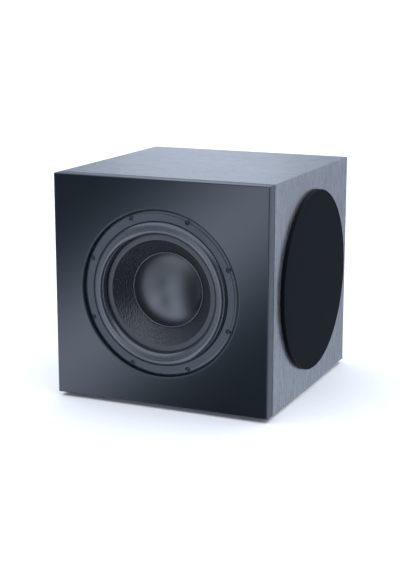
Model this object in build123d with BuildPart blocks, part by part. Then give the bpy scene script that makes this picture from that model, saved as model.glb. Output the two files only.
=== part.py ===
"""Powered subwoofer: a forward-firing driver, a passive radiator in each side and a rear plate amplifier.

The frame is X to the right, Y to the back and Z up, in millimetres. The origin is the centre of the overall
box on the floor, under the feet. Depth at the front is counted back from the fascia's face, and depth at a
side is counted inwards from the side panel's outer face.
"""

import os
from math import cos, pi, radians, sin, sqrt, tan

from build123d import *

os.makedirs("parts", exist_ok=True)

# Cabinet
WIDTH = 420.0
HEIGHT = 415.0
DEPTH = 430.0
FOOT_HEIGHT = 8.0
REAR_STICK_OUT = 16.0
FASCIA_THICK = 10.0
BOARD_THICK = 18.0
SHADOW_GAP_DEEP = 1.5
SHADOW_GAP_WIDE = 2.0
ARRIS = 1.2
SIDE_THICK = 30.0
TOP_THICK = 25.0
REAR_THICK = 22.0
BRACE_THICK = 18.0
BRACE_WIDE = 210.0
WINDOW_WIDE = 160.0
WINDOW_TALL = 250.0
WINDOW_ROUNDING = 30.0

# Driver, radii about its own axis and depths behind the fascia's face
FASCIA_HOLE_R = 153.0
HOLE_ROUNDING = 3.2
FLANGE_R = 152.4
FLANGE_FLAT_R = 146.2
BEVEL_DROP = 2.4
FLANGE_IN_R = 129.0
FLANGE_FACE = 5.5
BOARD_HOLE_R = 137.0
SCREW_CIRCLE_R = 144.8
SCREW_COUNT = 8
SCREW_TURN = 22.5
SCREW_CLEAR_R = 2.8
HEAD_R = 4.1
HEAD_TALL = 2.2
HEAD_ROUNDING = 0.8
HEX_R = 1.9
HEX_SIDES = 6
HEX_FLOOR = 0.4
HEX_CUT = 3.0
HEAD_RELIEF = 0.6
PILOT_R = 2.4
SCREW_LONG = 19.0
GASKET_OUT_R = 145.8
GASKET_IN_R = 133.2
GASKET_TALL = 2.2
LIP_THICK = 0.8
LIP_R = 138.0
LIP_GAP = 0.1

# Surround, the same on the driver and on the radiators
ROLL_R = 13.3
ROLL_MID_R = 120.3
ROLL_START = 110.0
ROLL_SWEEP = 160.0
ROLL_THICK = 1.2
INNER_LIP_R = 97.0
INNER_LIP_THICK = 1.0
HINGE_OVERLAP = 0.4

# Faces of the cabinet: the surround's crest stands out in front, the heat sink at the rear
LIP_DEPTH = FLANGE_FACE - LIP_THICK
FRONT_STICK_OUT = ROLL_R * (1 + cos(radians(ROLL_START))) - LIP_DEPTH
FRONT = FRONT_STICK_OUT - (FRONT_STICK_OUT + DEPTH + REAR_STICK_OUT) / 2
BACK = FRONT + DEPTH
LOW = FOOT_HEIGHT
HIGH = FOOT_HEIGHT + HEIGHT
MIDDLE = (LOW + HIGH) / 2
SHELL_FRONT = FRONT + FASCIA_THICK + BOARD_THICK
INNER_LOW = LOW + TOP_THICK
INNER_HIGH = HIGH - TOP_THICK
INNER_HALF = WIDTH / 2 - SIDE_THICK
SIDE_CENTRE_Y = (SHELL_FRONT + BACK) / 2
BRACE_Y = 60.0

# Driver basket: throat, spider landing, motor seat, spokes and terminal bracket
BEVEL_FULL = 0.4
BASKET_WALL = 6.0
THROAT_LONG = 12.0
THROAT_WALL = 4.0
SEAT_WALL = 3.0
SEAT_BORE_R = 52.0
SEAT_THICK = 4.0
LANDING_WALL = 6.0
SPOKES = 6
SPOKE_ARC = (43.0, 34.0)
BASKET_WINDOW_R = 110.0
BASKET_WINDOW_WIDE = 25.0
BASKET_WINDOW_BACK = 7.0
BASKET_WINDOW_FRONT = 14.0
BRACKET_AT = 93.0
BRACKET_WIDE = 30.0
BRACKET_TALL = 6.0
TERMINAL_AT = 91.0
TERMINAL_WIDE = 26.0
TERMINAL_LONG = 12.0
TERMINAL_TALL = 12.0
TAB_APART = 7.0
TAB_WIDE = 4.8
TAB_THICK = 0.8
TAB_LONG = 7.0
TINSEL_R = 1.0
TINSEL_X = 8.0
TINSEL_START = (8.0, 3.0)
TINSEL_SAG = (12.0, 68.0)
TINSEL_END = (66.5, 52.5)

# Driver cone, dust cap and motor
NECK_R = 38.0
NECK_DEPTH = 76.0
CONE_THICK = 1.5
CONE_LIP_THICK = 1.2
CAP_R = 68.5
CAP_RISE = 20.0
CAP_THICK = 1.2
CAP_SINK = 2.0
BEAD_OUT_R = 71.4
BEAD_IN_R = 67.4
BEAD_TALL = 1.6
FORMER_WALL = 0.7
FORMER_FRONT = 72.0
FORMER_REAR = 130.0
COIL_WALL = 0.9
COIL_FRONT = 93.0
COIL_REAR = 127.0
SPIDER_DEPTH = 91.0
SPIDER_LANDING_R = 84.0
SPIDER_R = 90.0
SPIDER_SWING = 2.2
SPIDER_THICK = 0.6
SPIDER_WAVES = 5
SPIDER_GAP = 0.2
SEAT_R = 94.0
MOTOR_DEPTH = 104.0
PLATE_THICK = 12.0
MAGNET_THICK = 17.0
MAGNET_R = 88.0
MAGNET_BORE_R = 46.0
MAGNET_CHAMFER = 1.5
RING_GLUE = 0.3
STEEL_R = 80.0
GAP_OUT_R = 39.6
POLE_R = 36.5
VENT_R = 14.0

# Passive radiators, depths inwards from the side panel's face
REBATE_R = 156.0
REBATE_DEEP = 16.0
RADIATOR_HOLE_R = 140.0
RADIATOR_R = 155.0
RADIATOR_IN_R = 130.0
RADIATOR_FACE = 11.0
RADIATOR_SCREW_R = 147.5
RADIATOR_SCREW_LONG = 17.0
RADIATOR_DISC_R = 56.0
RADIATOR_DISC_DEPTH = 44.0
RADIATOR_SEAT_DEPTH = 67.0
RADIATOR_TUBE_R = 40.0
RADIATOR_LANDING_R = 80.0
RADIATOR_SPIDER_R = 88.0
RADIATOR_SEAT_R = 92.0
RADIATOR_WAVES = 4
RADIATOR_DISC_THICK = 3.0
RADIATOR_WALL = 1.5
RADIATOR_TUBE_WALL = 2.0
RADIATOR_FLANGE_WALL = 7.0
RADIATOR_THROAT_LONG = 8.0
RADIATOR_THROAT_WALL = 5.0
RADIATOR_SEAT_THICK = 4.0
RADIATOR_LANDING_WALL = 5.0
RADIATOR_WINDOW_R = 109.0
RADIATOR_WINDOW_WIDE = 24.0
RADIATOR_WINDOW_BACK = 6.0
RADIATOR_WINDOW_FRONT = 10.0
RADIATOR_HEX_FLOOR = 0.6
WEIGHT_TALL = 10.0
WEIGHT_BORE_R = 5.0

# Side grilles
GRILLE_R = 170.0
GRILLE_IN_R = 159.0
GRILLE_PROUD = 8.0
RIM_WIDE = 2.2
CLOTH_THICK = 0.8
CLOTH_SINK = 0.5
PEG_R = 3.0
PEG_LONG = 9.0
PEG_CIRCLE_R = 163.0
PEG_COUNT = 6
PEG_TURN = 30.0
GRILLE_CHAMFER = 0.8
SOCKET_R = 5.0
SOCKET_LONG = 11.0
RUNNING_GAP = 0.05

# Amplifier module
AMP_WIDE = 280.0
AMP_TALL = 320.0
AMP_THICK = 3.0
AMP_HOLE_WIDE = 250.0
AMP_HOLE_TALL = 290.0
AMP_FACE = BACK + AMP_THICK
AMP_ROUNDING = 6.0
AMP_SCREW_INSET = 7.0
AMP_SCREWS = (AMP_WIDE - 2 * AMP_SCREW_INSET, (AMP_TALL - 2 * AMP_SCREW_INSET) / 3, 2, 4)
AMP_HEAD_R = 3.6
AMP_HEAD_TALL = 2.0
AMP_SCREW_R = 1.9
AMP_SCREW_LONG = 16.0
AMP_SCREW_HOLE_R = 2.3
AMP_HEAD_ROUNDING = 0.7
CROSS_FLOOR = 0.6
CROSS_CUT = 3.0
CROSS_LONG = 3.2
CROSS_WIDE = 0.8
SINK_BASE = 4.0
FIN_THICK = 2.2
FIN_COUNT = 11
SINK_X = -75.0
SINK_Z = 245.0
SINK_WIDE = 100.0
SINK_TALL = 220.0
KNOB_R = 9.0
KNOB_TALL = 11.0
SHAFT_R = 3.0
KNOB_STAND = 1.5
KNOB_TAPER = 3.0
KNOB_ROUNDING = 1.0
KNOB_MARK_WIDE = 1.2
KNOB_MARK_LONG = 5.0
KNOB_MARK_DEEP = 0.6
KNOB_MARK_CUT = 3.0
SHAFT_LONG = 12.0
POT_WIDE = 17.0
POT_LONG = 10.0
BUSH_R = 4.3
BUSH_PROUD = 1.0
BUSH_HOLE_R = 4.5
HOLE_GAP = 0.4
POT_X = 75.0
POT_Z = {"volume": 340.0, "crossover": 290.0}
LEVER_X = {"phase": 50.0, "standby": 100.0}
LEVER_Z = 245.0
LEVER_TRAVEL = {"phase": 6.0, "standby": 6.0}
LEVER_SIZE = 4.0
LEVER_LONG = 13.0
LEVER_BACK = 4.6
LEVER_GAP = 0.8
LEVER_SLOT = 11.0
LEVER_HOLE_WIDE = 12.0
LEVER_HOLE_TALL = 5.4
SLIDE_WIDE = 24.0
SLIDE_TALL = 10.0
SLIDE_LONG = 9.0
SLIDE_CUT = 5.0
SOCKET_X = (50.0, 100.0)
SOCKET_Z = 195.0
JACK_R = 4.15
JACK_LONG = 8.0
JACK_NUT_R = 6.5
JACK_NUT_TALL = 1.5
JACK_BODY_R = 4.9
JACK_BODY_LONG = 14.0
JACK_BORE_R = 1.65
JACK_HOLE_R = 5.0
MAINS_Z = 92.0
INLET_X = 85.0
ROCKER_X = 20.0
FUSE_X = -45.0
FLANGE_TALL = 2.0
INLET_WIDE = 48.0
INLET_TALL = 30.0
INLET_ROUNDING = 3.0
INLET_BODY_WIDE = 28.6
INLET_BODY_TALL = 20.6
INLET_LONG = 20.0
CAVITY_HALF_WIDE = 12.2
CAVITY_HALF_TALL = 8.2
CAVITY_CORNER = 4.0
CAVITY_DEEP = 18.0
PIN_PLACES = [(-7.0, -1.0), (7.0, -1.0), (0.0, -4.0)]
PIN_WIDE = 2.0
PIN_TALL = 4.0
PIN_LONG = 13.0
PIN_ROOT = 16.0
FUSE_FLANGE_R = 8.5
FUSE_R = 6.4
FUSE_HOLE_R = 6.5
FUSE_LONG = 24.0
FUSE_CAP_TALL = 5.0
FUSE_SLOT_WIDE = 1.4
FUSE_SLOT_LONG = 9.0
FUSE_SLOT_FLOOR = 5.5
FUSE_SLOT_CUT = 3.0
LAMP_R = 2.5
LAMP_PROUD = 2.0
LAMP_ROUNDING = 1.8
ROCKER_FLANGE_WIDE = 23.0
ROCKER_FLANGE_TALL = 32.0
ROCKER_FLANGE_ROUNDING = 2.0
ROCKER_BODY_WIDE = 18.6
ROCKER_BODY_TALL = 27.6
ROCKER_BODY_LONG = 16.0
ROCKER_WELL_WIDE = 13.4
ROCKER_WELL_TALL = 22.4
ROCKER_WELL_DEEP = 14.0
ROCKER_WIDE = 12.6
ROCKER_HALF = 9.5
ROCKER_END = 5.2
ROCKER_DISH = 3.6
ROCKER_SHOULDER = 3.0
ROCKER_TOE = 8.0
ROCKER_PIVOT_Y = AMP_FACE - 1.0
ROCKER_TILT = 8.0
LED_X = 25.0
LED_Z = 340.0
BOARD_X = 65.0
BOARD_Z = 240.0
BOARD_WIDE = 116.0
BOARD_TALL = 210.0
BOARD_FACE_Y = 166.6
BOARD_LAMINATE = 1.6
POST_R = 3.0
POST_INSET = 5.0
CAPACITOR_R = 15.0
CAPACITOR_LONG = 40.0
CAPACITOR_ROUNDING = 1.5
CAPACITOR_PLACES = [(-20.0, 60.0), (20.0, 60.0)]
TOROID_X = -60.0
TOROID_Z = 215.0
TOROID_R = 48.0
TOROID_BORE_R = 14.0
TOROID_TALL = 44.0
TOROID_ROUNDING = 6.0

# Feet
FOOT_R = 20.0
FOOT_X = 150.0
FOOT_FRONT_Y = FRONT + 75.0
FOOT_BACK_Y = BACK - 60.0
FOOT_ROUNDING = 1.5
FOOT_WELL_R = 6.0
FOOT_WELL_DEEP = 5.0
FOOT_BORE_R = 2.6
FOOT_HEAD_R = 5.0
FOOT_HEAD_LOW = 2.0
FOOT_HEAD_TALL = 3.0
FOOT_SCREW_LONG = 20.0
FOOT_HEX_R = 1.8
FOOT_HEX_DEEP = 1.6
FOOT_PILOT_DEEP = 18.0
FOOT_PLACES = [(x, y) for x in (-FOOT_X, FOOT_X) for y in (FOOT_FRONT_Y, FOOT_BACK_Y)]

# Driver lead, from the circuit board to the driver's terminals
LEAD_R = 2.5
LEAD_BEND = 0.45
TERMINAL_Z = MIDDLE - SEAT_R - 9.0
TERMINAL_BACK = FRONT + 97.0
CLIP_Y = 71.0
CLIP_LONG = 8.0
CLIP_WIDE = 12.0
CLIP_TALL = 12.5
CLIP_SHIFT = 1.25
LEAD_POINTS = [
    (40, 165, 150),
    (40, 135, 150),
    (36, 112, 122),
    (30, 92, 98),
    (30, 46, 98),
    (22, 4, 104),
    (10, -40, 108),
    (0, -84, TERMINAL_Z),
    (0, TERMINAL_BACK, TERMINAL_Z),
]

# Damping wadding
WADDING_WIDE = 290.0
WADDING_LONG = 190.0
WADDING_TALL = 26.0
WADDING_Y = -50.0
WADDING_CORNER = 20.0
WADDING_ROUNDING = 8.0

DRIVER_AXIS = Axis((0, 0, MIDDLE), (0, 1, 0))


def front_plane(depth):
    """A plane facing forwards at a depth behind the fascia's face, centred on the driver."""
    return Plane(origin=(0, FRONT + depth, MIDDLE), x_dir=(1, 0, 0), z_dir=(0, -1, 0))


def rear_plane(y, x=0.0, z=MIDDLE):
    """A plane facing forwards at a given Y, so a negative extrusion goes to the back."""
    return Plane(origin=(x, y, z), x_dir=(1, 0, 0), z_dir=(0, -1, 0))


def side_plane(facing, depth):
    """A plane facing outwards on one side, at a depth inside the panel's outer face."""
    x = facing * (WIDTH / 2 - depth)
    return Plane(origin=(x, SIDE_CENTRE_Y, MIDDLE), x_dir=(0, facing, 0), z_dir=(facing, 0, 0))


def driver_section():
    """The half plane in which the driver's parts are drawn: (depth, radius)."""
    return Plane(origin=(0, FRONT, MIDDLE), x_dir=(0, 1, 0), z_dir=(1, 0, 0))


def side_section(facing):
    """The half plane in which a radiator's parts are drawn: (depth, radius)."""
    origin = (facing * WIDTH / 2, SIDE_CENTRE_Y, MIDDLE)
    return Plane(origin=origin, x_dir=(-facing, 0, 0), z_dir=(0, facing, 0))


def side_axis(facing):
    """The axis of a radiator, pointing outwards."""
    return Axis((0, SIDE_CENTRE_Y, MIDDLE), (facing, 0, 0))


def polygon_face(points):
    """A face inside a closed run of straight lines, added to the sketch in hand."""
    Polygon(*points, align=None)


def ring_face(depth_from, depth_to, radius_from, radius_to):
    """A rectangle of the half plane, which turns into a plain ring."""
    polygon_face(
        [
            (depth_from, radius_from),
            (depth_to, radius_from),
            (depth_to, radius_to),
            (depth_from, radius_to),
        ]
    )


def roll_face(lip_depth):
    """The surround's section: outer lip with its face at lip_depth, half roll and inner lip."""
    middle = roll_centre_depth(lip_depth)
    end = ROLL_START + ROLL_SWEEP
    with BuildLine() as outline:
        outer = CenterArc((middle, ROLL_MID_R), ROLL_R, ROLL_START, ROLL_SWEEP)
        inner = CenterArc((middle, ROLL_MID_R), ROLL_R - ROLL_THICK, ROLL_START, ROLL_SWEEP)
        Line(outer @ 0, inner @ 0)
        Line(outer @ 1, inner @ 1)
    make_face(outline.edges())
    hinge_r = ROLL_MID_R + (ROLL_R - ROLL_THICK) * sin(radians(ROLL_START)) - HINGE_OVERLAP
    ring_face(lip_depth, lip_depth + LIP_THICK, hinge_r, LIP_R)
    foot_r = ROLL_MID_R + (ROLL_R - ROLL_THICK) * sin(radians(end))
    ring_face(middle, middle + INNER_LIP_THICK, INNER_LIP_R, foot_r)


def roll_centre_depth(lip_depth):
    """Depth of the roll's centre, and of the inner lip's face, for a lip face at lip_depth."""
    return lip_depth - ROLL_R * cos(radians(ROLL_START))


def spider_face(depth, inner_r, waves_out_r, outer_r, waves):
    """The section of a corrugated spider: equal arcs, front and back by turns, then a flat outer lip."""
    step = (waves_out_r - inner_r) / (2 * waves)
    with BuildLine() as outline:
        for n in range(2 * waves):
            start = inner_r + n * step
            bulge = SPIDER_SWING if n % 2 else -SPIDER_SWING
            for face in (0.0, SPIDER_THICK):
                ThreePointArc(
                    (depth + face, start),
                    (depth + face + bulge, start + step / 2),
                    (depth + face, start + step),
                )
        back = depth + SPIDER_THICK
        Line((depth, inner_r), (back, inner_r))
        Polyline((depth, waves_out_r), (depth, outer_r), (back, outer_r), (back, waves_out_r))
    make_face(outline.edges())


def save(builder, name):
    """Label a finished piece and write it out."""
    builder.part.label = name
    export_step(builder.part, f"parts/{name}.step")


# Front fascia: a gloss plate with the driver's hole, its edges eased
with BuildPart() as front_fascia:
    with BuildSketch(front_plane(FASCIA_THICK)):
        Rectangle(WIDTH, HEIGHT)
        Circle(FASCIA_HOLE_R, mode=Mode.SUBTRACT)
    extrude(amount=FASCIA_THICK)
    front_edges = front_fascia.faces().sort_by(Axis.Y)[0].edges()
    fillet(front_edges.filter_by(GeomType.CIRCLE), HOLE_ROUNDING)
    rim_edges = front_fascia.faces().sort_by(Axis.Y)[0].edges().filter_by(GeomType.LINE)
    chamfer(rim_edges, ARRIS)
save(front_fascia, "front_fascia")

# Baffle board: carries the driver, with a shadow gap behind its edge
with BuildPart() as baffle_board:
    with BuildSketch(front_plane(FASCIA_THICK + BOARD_THICK - SHADOW_GAP_WIDE)):
        Rectangle(WIDTH, HEIGHT)
    extrude(amount=BOARD_THICK - SHADOW_GAP_WIDE)
    with BuildSketch(front_plane(FASCIA_THICK + BOARD_THICK)):
        Rectangle(WIDTH - 2 * SHADOW_GAP_DEEP, HEIGHT - 2 * SHADOW_GAP_DEEP)
    extrude(amount=SHADOW_GAP_WIDE)
    with BuildSketch(front_plane(FASCIA_THICK)):
        Circle(BOARD_HOLE_R)
        with PolarLocations(SCREW_CIRCLE_R, SCREW_COUNT, SCREW_TURN):
            Circle(PILOT_R)
    extrude(amount=-BOARD_THICK, mode=Mode.SUBTRACT)
save(baffle_board, "baffle_board")

# Shell: four mitred panels, outer corner to inner corner
SHELL_SECTION = {
    "top_panel": [
        (-WIDTH / 2, HIGH),
        (WIDTH / 2, HIGH),
        (INNER_HALF, INNER_HIGH),
        (-INNER_HALF, INNER_HIGH),
    ],
    "bottom_panel": [
        (-WIDTH / 2, LOW),
        (WIDTH / 2, LOW),
        (INNER_HALF, INNER_LOW),
        (-INNER_HALF, INNER_LOW),
    ],
    "right_side_panel": [
        (WIDTH / 2, LOW),
        (WIDTH / 2, HIGH),
        (INNER_HALF, INNER_HIGH),
        (INNER_HALF, INNER_LOW),
    ],
    "left_side_panel": [
        (-WIDTH / 2, LOW),
        (-WIDTH / 2, HIGH),
        (-INNER_HALF, INNER_HIGH),
        (-INNER_HALF, INNER_LOW),
    ],
}
for name, corners in SHELL_SECTION.items():
    with BuildPart() as panel:
        with BuildSketch(Plane(origin=(0, BACK, 0), x_dir=(1, 0, 0), z_dir=(0, -1, 0))):
            polygon_face(corners)
        extrude(amount=BACK - SHELL_FRONT)
        if "side" in name:
            facing = 1 if "right" in name else -1
            with BuildSketch(side_plane(facing, REBATE_DEEP)):
                Circle(REBATE_R)
            extrude(amount=REBATE_DEEP, mode=Mode.SUBTRACT)
            with BuildSketch(side_plane(facing, SIDE_THICK)):
                Circle(RADIATOR_HOLE_R)
                with PolarLocations(RADIATOR_SCREW_R, SCREW_COUNT, SCREW_TURN):
                    Circle(PILOT_R)
            extrude(amount=SIDE_THICK, mode=Mode.SUBTRACT)
            with BuildSketch(side_plane(facing, SOCKET_LONG)):
                with PolarLocations(PEG_CIRCLE_R, PEG_COUNT, PEG_TURN):
                    Circle(SOCKET_R)
            extrude(amount=SOCKET_LONG, mode=Mode.SUBTRACT)
        if name == "bottom_panel":
            with BuildSketch(Plane.XY.offset(LOW)):
                with Locations(*FOOT_PLACES):
                    Circle(PILOT_R)
            extrude(amount=FOOT_PILOT_DEEP, mode=Mode.SUBTRACT)
    save(panel, name)

# Rear panel, inside the shell, with the amplifier's cut-out
with BuildPart() as rear_panel:
    with BuildSketch(rear_plane(BACK)):
        Rectangle(2 * INNER_HALF, INNER_HIGH - INNER_LOW)
        Rectangle(AMP_HOLE_WIDE, AMP_HOLE_TALL, mode=Mode.SUBTRACT)
        with GridLocations(*AMP_SCREWS):
            Circle(AMP_SCREW_R, mode=Mode.SUBTRACT)
    extrude(amount=REAR_THICK)
save(rear_panel, "rear_panel")

# Window brace, between the driver's magnet and the amplifier
with BuildPart() as window_brace:
    with BuildSketch(rear_plane(BRACE_Y + BRACE_THICK)):
        Rectangle(BRACE_WIDE, INNER_HIGH - INNER_LOW)
        RectangleRounded(WINDOW_WIDE, WINDOW_TALL, WINDOW_ROUNDING, mode=Mode.SUBTRACT)
    extrude(amount=BRACE_THICK)
save(window_brace, "window_brace")

# Feet and the screws that hold them
with BuildPart() as rubber_feet:
    with BuildSketch():
        with Locations(*FOOT_PLACES):
            Circle(FOOT_R)
    extrude(amount=FOOT_HEIGHT)
    fillet(rubber_feet.edges().group_by(Axis.Z)[0], FOOT_ROUNDING)
    with BuildSketch():
        with Locations(*FOOT_PLACES):
            Circle(FOOT_WELL_R)
    extrude(amount=FOOT_WELL_DEEP, mode=Mode.SUBTRACT)
    with BuildSketch():
        with Locations(*FOOT_PLACES):
            Circle(FOOT_BORE_R)
    extrude(amount=FOOT_HEIGHT, mode=Mode.SUBTRACT)
save(rubber_feet, "rubber_feet")

with BuildPart() as foot_screws:
    with BuildSketch(Plane.XY.offset(FOOT_HEAD_LOW)):
        with Locations(*FOOT_PLACES):
            Circle(FOOT_HEAD_R)
    extrude(amount=FOOT_HEAD_TALL)
    with BuildSketch(Plane.XY.offset(FOOT_HEAD_LOW + FOOT_HEAD_TALL)):
        with Locations(*FOOT_PLACES):
            Circle(PILOT_R)
    extrude(amount=FOOT_SCREW_LONG)
    with BuildSketch(Plane.XY.offset(FOOT_HEAD_LOW)):
        with Locations(*FOOT_PLACES):
            RegularPolygon(FOOT_HEX_R, HEX_SIDES)
    extrude(amount=FOOT_HEX_DEEP, mode=Mode.SUBTRACT)
save(foot_screws, "foot_screws")

# Driver basket: cast flange, spokes, spider landing and motor seat
with BuildPart() as driver_basket:
    with BuildSketch(driver_section()):
        with BuildLine():
            edge = ThreePointArc(
                (FLANGE_FACE, FLANGE_FLAT_R),
                (FLANGE_FACE + BEVEL_FULL * BEVEL_DROP, FLANGE_R - BEVEL_FULL * (FLANGE_R - FLANGE_FLAT_R)),
                (FLANGE_FACE + BEVEL_DROP, FLANGE_R),
            )
            Polyline(
                edge @ 1,
                (FASCIA_THICK, FLANGE_R),
                (FASCIA_THICK, FLANGE_IN_R + BASKET_WALL),
                (FASCIA_THICK + THROAT_LONG, FLANGE_IN_R + THROAT_WALL),
                (SPIDER_DEPTH - SEAT_WALL, SEAT_R),
                (MOTOR_DEPTH, SEAT_R),
                (MOTOR_DEPTH, SEAT_BORE_R),
                (MOTOR_DEPTH - SEAT_THICK, SEAT_BORE_R),
                (MOTOR_DEPTH - SEAT_THICK, SPIDER_LANDING_R),
                (SPIDER_DEPTH + SPIDER_THICK, SPIDER_LANDING_R),
                (SPIDER_DEPTH + SPIDER_THICK, SPIDER_R),
                (SPIDER_DEPTH - LANDING_WALL, SPIDER_R),
                (FASCIA_THICK + THROAT_LONG, FLANGE_IN_R),
                (FLANGE_FACE, FLANGE_IN_R),
                edge @ 0,
            )
        make_face()
    revolve(axis=DRIVER_AXIS)
    with BuildSketch(front_plane(SPIDER_DEPTH - BASKET_WINDOW_BACK)):
        with PolarLocations(0, SPOKES):
            SlotArc(CenterArc((0, 0), BASKET_WINDOW_R, *SPOKE_ARC), BASKET_WINDOW_WIDE)
    window_long = SPIDER_DEPTH - BASKET_WINDOW_BACK - FASCIA_THICK - BASKET_WINDOW_FRONT
    extrude(amount=window_long, mode=Mode.SUBTRACT)
    with BuildSketch(front_plane(FASCIA_THICK)):
        with PolarLocations(SCREW_CIRCLE_R, SCREW_COUNT, SCREW_TURN):
            Circle(SCREW_CLEAR_R)
    extrude(amount=FASCIA_THICK, mode=Mode.SUBTRACT)
    with BuildSketch(Plane.XY.offset(TERMINAL_Z + TERMINAL_TALL / 2)):
        with Locations((0, FRONT + BRACKET_AT)):
            Rectangle(BRACKET_WIDE, TERMINAL_LONG)
    extrude(amount=BRACKET_TALL)
save(driver_basket, "driver_basket")

# Gasket ring that covers the surround's outer lip, relieved round each screw
GASKET_FACE = FLANGE_FACE - GASKET_TALL
with BuildPart() as driver_gasket:
    with BuildSketch(driver_section()):
        polygon_face(
            [
                (GASKET_FACE, GASKET_IN_R),
                (GASKET_FACE, GASKET_OUT_R),
                (FLANGE_FACE, GASKET_OUT_R),
                (FLANGE_FACE, LIP_R + LIP_GAP),
                (LIP_DEPTH, LIP_R + LIP_GAP),
                (LIP_DEPTH, GASKET_IN_R),
            ]
        )
    revolve(axis=DRIVER_AXIS)
    with BuildSketch(front_plane(FLANGE_FACE)):
        with PolarLocations(SCREW_CIRCLE_R, SCREW_COUNT, SCREW_TURN):
            Circle(HEAD_R + HEAD_RELIEF)
    extrude(amount=FLANGE_FACE, mode=Mode.SUBTRACT)
save(driver_gasket, "driver_gasket")

with BuildPart() as driver_screws:
    with BuildSketch(front_plane(FLANGE_FACE)):
        with PolarLocations(SCREW_CIRCLE_R, SCREW_COUNT, SCREW_TURN):
            Circle(HEAD_R)
    extrude(amount=HEAD_TALL)
    fillet(driver_screws.edges().group_by(Axis.Y)[0], HEAD_ROUNDING)
    with BuildSketch(front_plane(FLANGE_FACE)):
        with PolarLocations(SCREW_CIRCLE_R, SCREW_COUNT, SCREW_TURN):
            Circle(PILOT_R)
    extrude(amount=-SCREW_LONG)
    with BuildSketch(front_plane(FLANGE_FACE - HEX_FLOOR)):
        with PolarLocations(SCREW_CIRCLE_R, SCREW_COUNT, SCREW_TURN):
            RegularPolygon(HEX_R, HEX_SIDES)
    extrude(amount=HEX_CUT, mode=Mode.SUBTRACT)
save(driver_screws, "driver_screws")

with BuildPart() as driver_surround:
    with BuildSketch(driver_section()):
        roll_face(LIP_DEPTH)
    revolve(axis=DRIVER_AXIS)
save(driver_surround, "driver_surround")

# Cone: flat edge under the surround's inner lip, then one straight slope to the neck
EDGE_DEPTH = roll_centre_depth(LIP_DEPTH) + INNER_LIP_THICK
EDGE_R = ROLL_MID_R - ROLL_R + ROLL_THICK
SLOPE = (NECK_DEPTH - EDGE_DEPTH) / (INNER_LIP_R - NECK_R)
SLOPE_LONG = sqrt(1 + SLOPE**2)
BACK_SHIFT = CONE_THICK * SLOPE_LONG


def cone_depth(radius):
    """Depth of the cone's front face at a radius."""
    return EDGE_DEPTH + (INNER_LIP_R - radius) * SLOPE


with BuildPart() as driver_cone:
    with BuildSketch(driver_section()):
        polygon_face(
            [
                (EDGE_DEPTH, EDGE_R),
                (EDGE_DEPTH, INNER_LIP_R),
                (NECK_DEPTH, NECK_R),
                (NECK_DEPTH + BACK_SHIFT, NECK_R),
                (EDGE_DEPTH + CONE_LIP_THICK, INNER_LIP_R + (BACK_SHIFT - CONE_LIP_THICK) / SLOPE),
                (EDGE_DEPTH + CONE_LIP_THICK, EDGE_R),
            ]
        )
    revolve(axis=DRIVER_AXIS)
save(driver_cone, "driver_cone")

# Dust cap: a shallow dome with a bead of glue round it
CAP_EDGE_DEPTH = cone_depth(CAP_R) - CAP_SINK
CAP_SPHERE_R = (CAP_R**2 + CAP_RISE**2) / (2 * CAP_RISE)
CAP_CENTRE = CAP_EDGE_DEPTH - CAP_RISE + CAP_SPHERE_R
BEAD_SHIFT = BEAD_TALL / SLOPE_LONG
with BuildPart() as driver_dust_cap:
    with BuildSketch(driver_section()):
        with BuildLine():
            crest = CAP_CENTRE - CAP_SPHERE_R
            inner_sphere = CAP_SPHERE_R - CAP_THICK
            rim = CAP_CENTRE - sqrt(inner_sphere**2 - CAP_R**2)
            half = CAP_R / 2
            half_out = CAP_CENTRE - sqrt(CAP_SPHERE_R**2 - half**2)
            half_in = CAP_CENTRE - sqrt(inner_sphere**2 - half**2)
            ThreePointArc((crest, 0), (half_out, half), (CAP_EDGE_DEPTH, CAP_R))
            Line((CAP_EDGE_DEPTH, CAP_R), (rim, CAP_R))
            ThreePointArc((rim, CAP_R), (half_in, half), (crest + CAP_THICK, 0))
            Line((crest + CAP_THICK, 0), (crest, 0))
        make_face()
        polygon_face(
            [
                (cone_depth(BEAD_IN_R), BEAD_IN_R),
                (cone_depth(BEAD_OUT_R), BEAD_OUT_R),
                (cone_depth(BEAD_OUT_R) - BEAD_SHIFT, BEAD_OUT_R - BEAD_SHIFT * SLOPE),
                (cone_depth(BEAD_IN_R) - BEAD_SHIFT, BEAD_IN_R - BEAD_SHIFT * SLOPE),
            ]
        )
    revolve(axis=DRIVER_AXIS)
save(driver_dust_cap, "driver_dust_cap")

with BuildPart() as voice_coil_former:
    with BuildSketch(driver_section()):
        ring_face(FORMER_FRONT, FORMER_REAR, NECK_R - FORMER_WALL, NECK_R)
    revolve(axis=DRIVER_AXIS)
save(voice_coil_former, "voice_coil_former")

with BuildPart() as voice_coil:
    with BuildSketch(driver_section()):
        ring_face(COIL_FRONT, COIL_REAR, NECK_R, NECK_R + COIL_WALL)
    revolve(axis=DRIVER_AXIS)
save(voice_coil, "voice_coil")

with BuildPart() as driver_spider:
    with BuildSketch(driver_section()):
        spider_face(SPIDER_DEPTH, NECK_R, SPIDER_LANDING_R, SPIDER_R - SPIDER_GAP, SPIDER_WAVES)
    revolve(axis=DRIVER_AXIS)
save(driver_spider, "driver_spider")

# Motor: top plate, two ferrite rings, back plate with its vented pole
MAGNET_FRONT = MOTOR_DEPTH + PLATE_THICK
MAGNET_REAR = MAGNET_FRONT + 2 * MAGNET_THICK
with BuildPart() as top_plate:
    with BuildSketch(driver_section()):
        ring_face(MOTOR_DEPTH, MAGNET_FRONT, GAP_OUT_R, STEEL_R)
    revolve(axis=DRIVER_AXIS)
save(top_plate, "top_plate")

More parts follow.
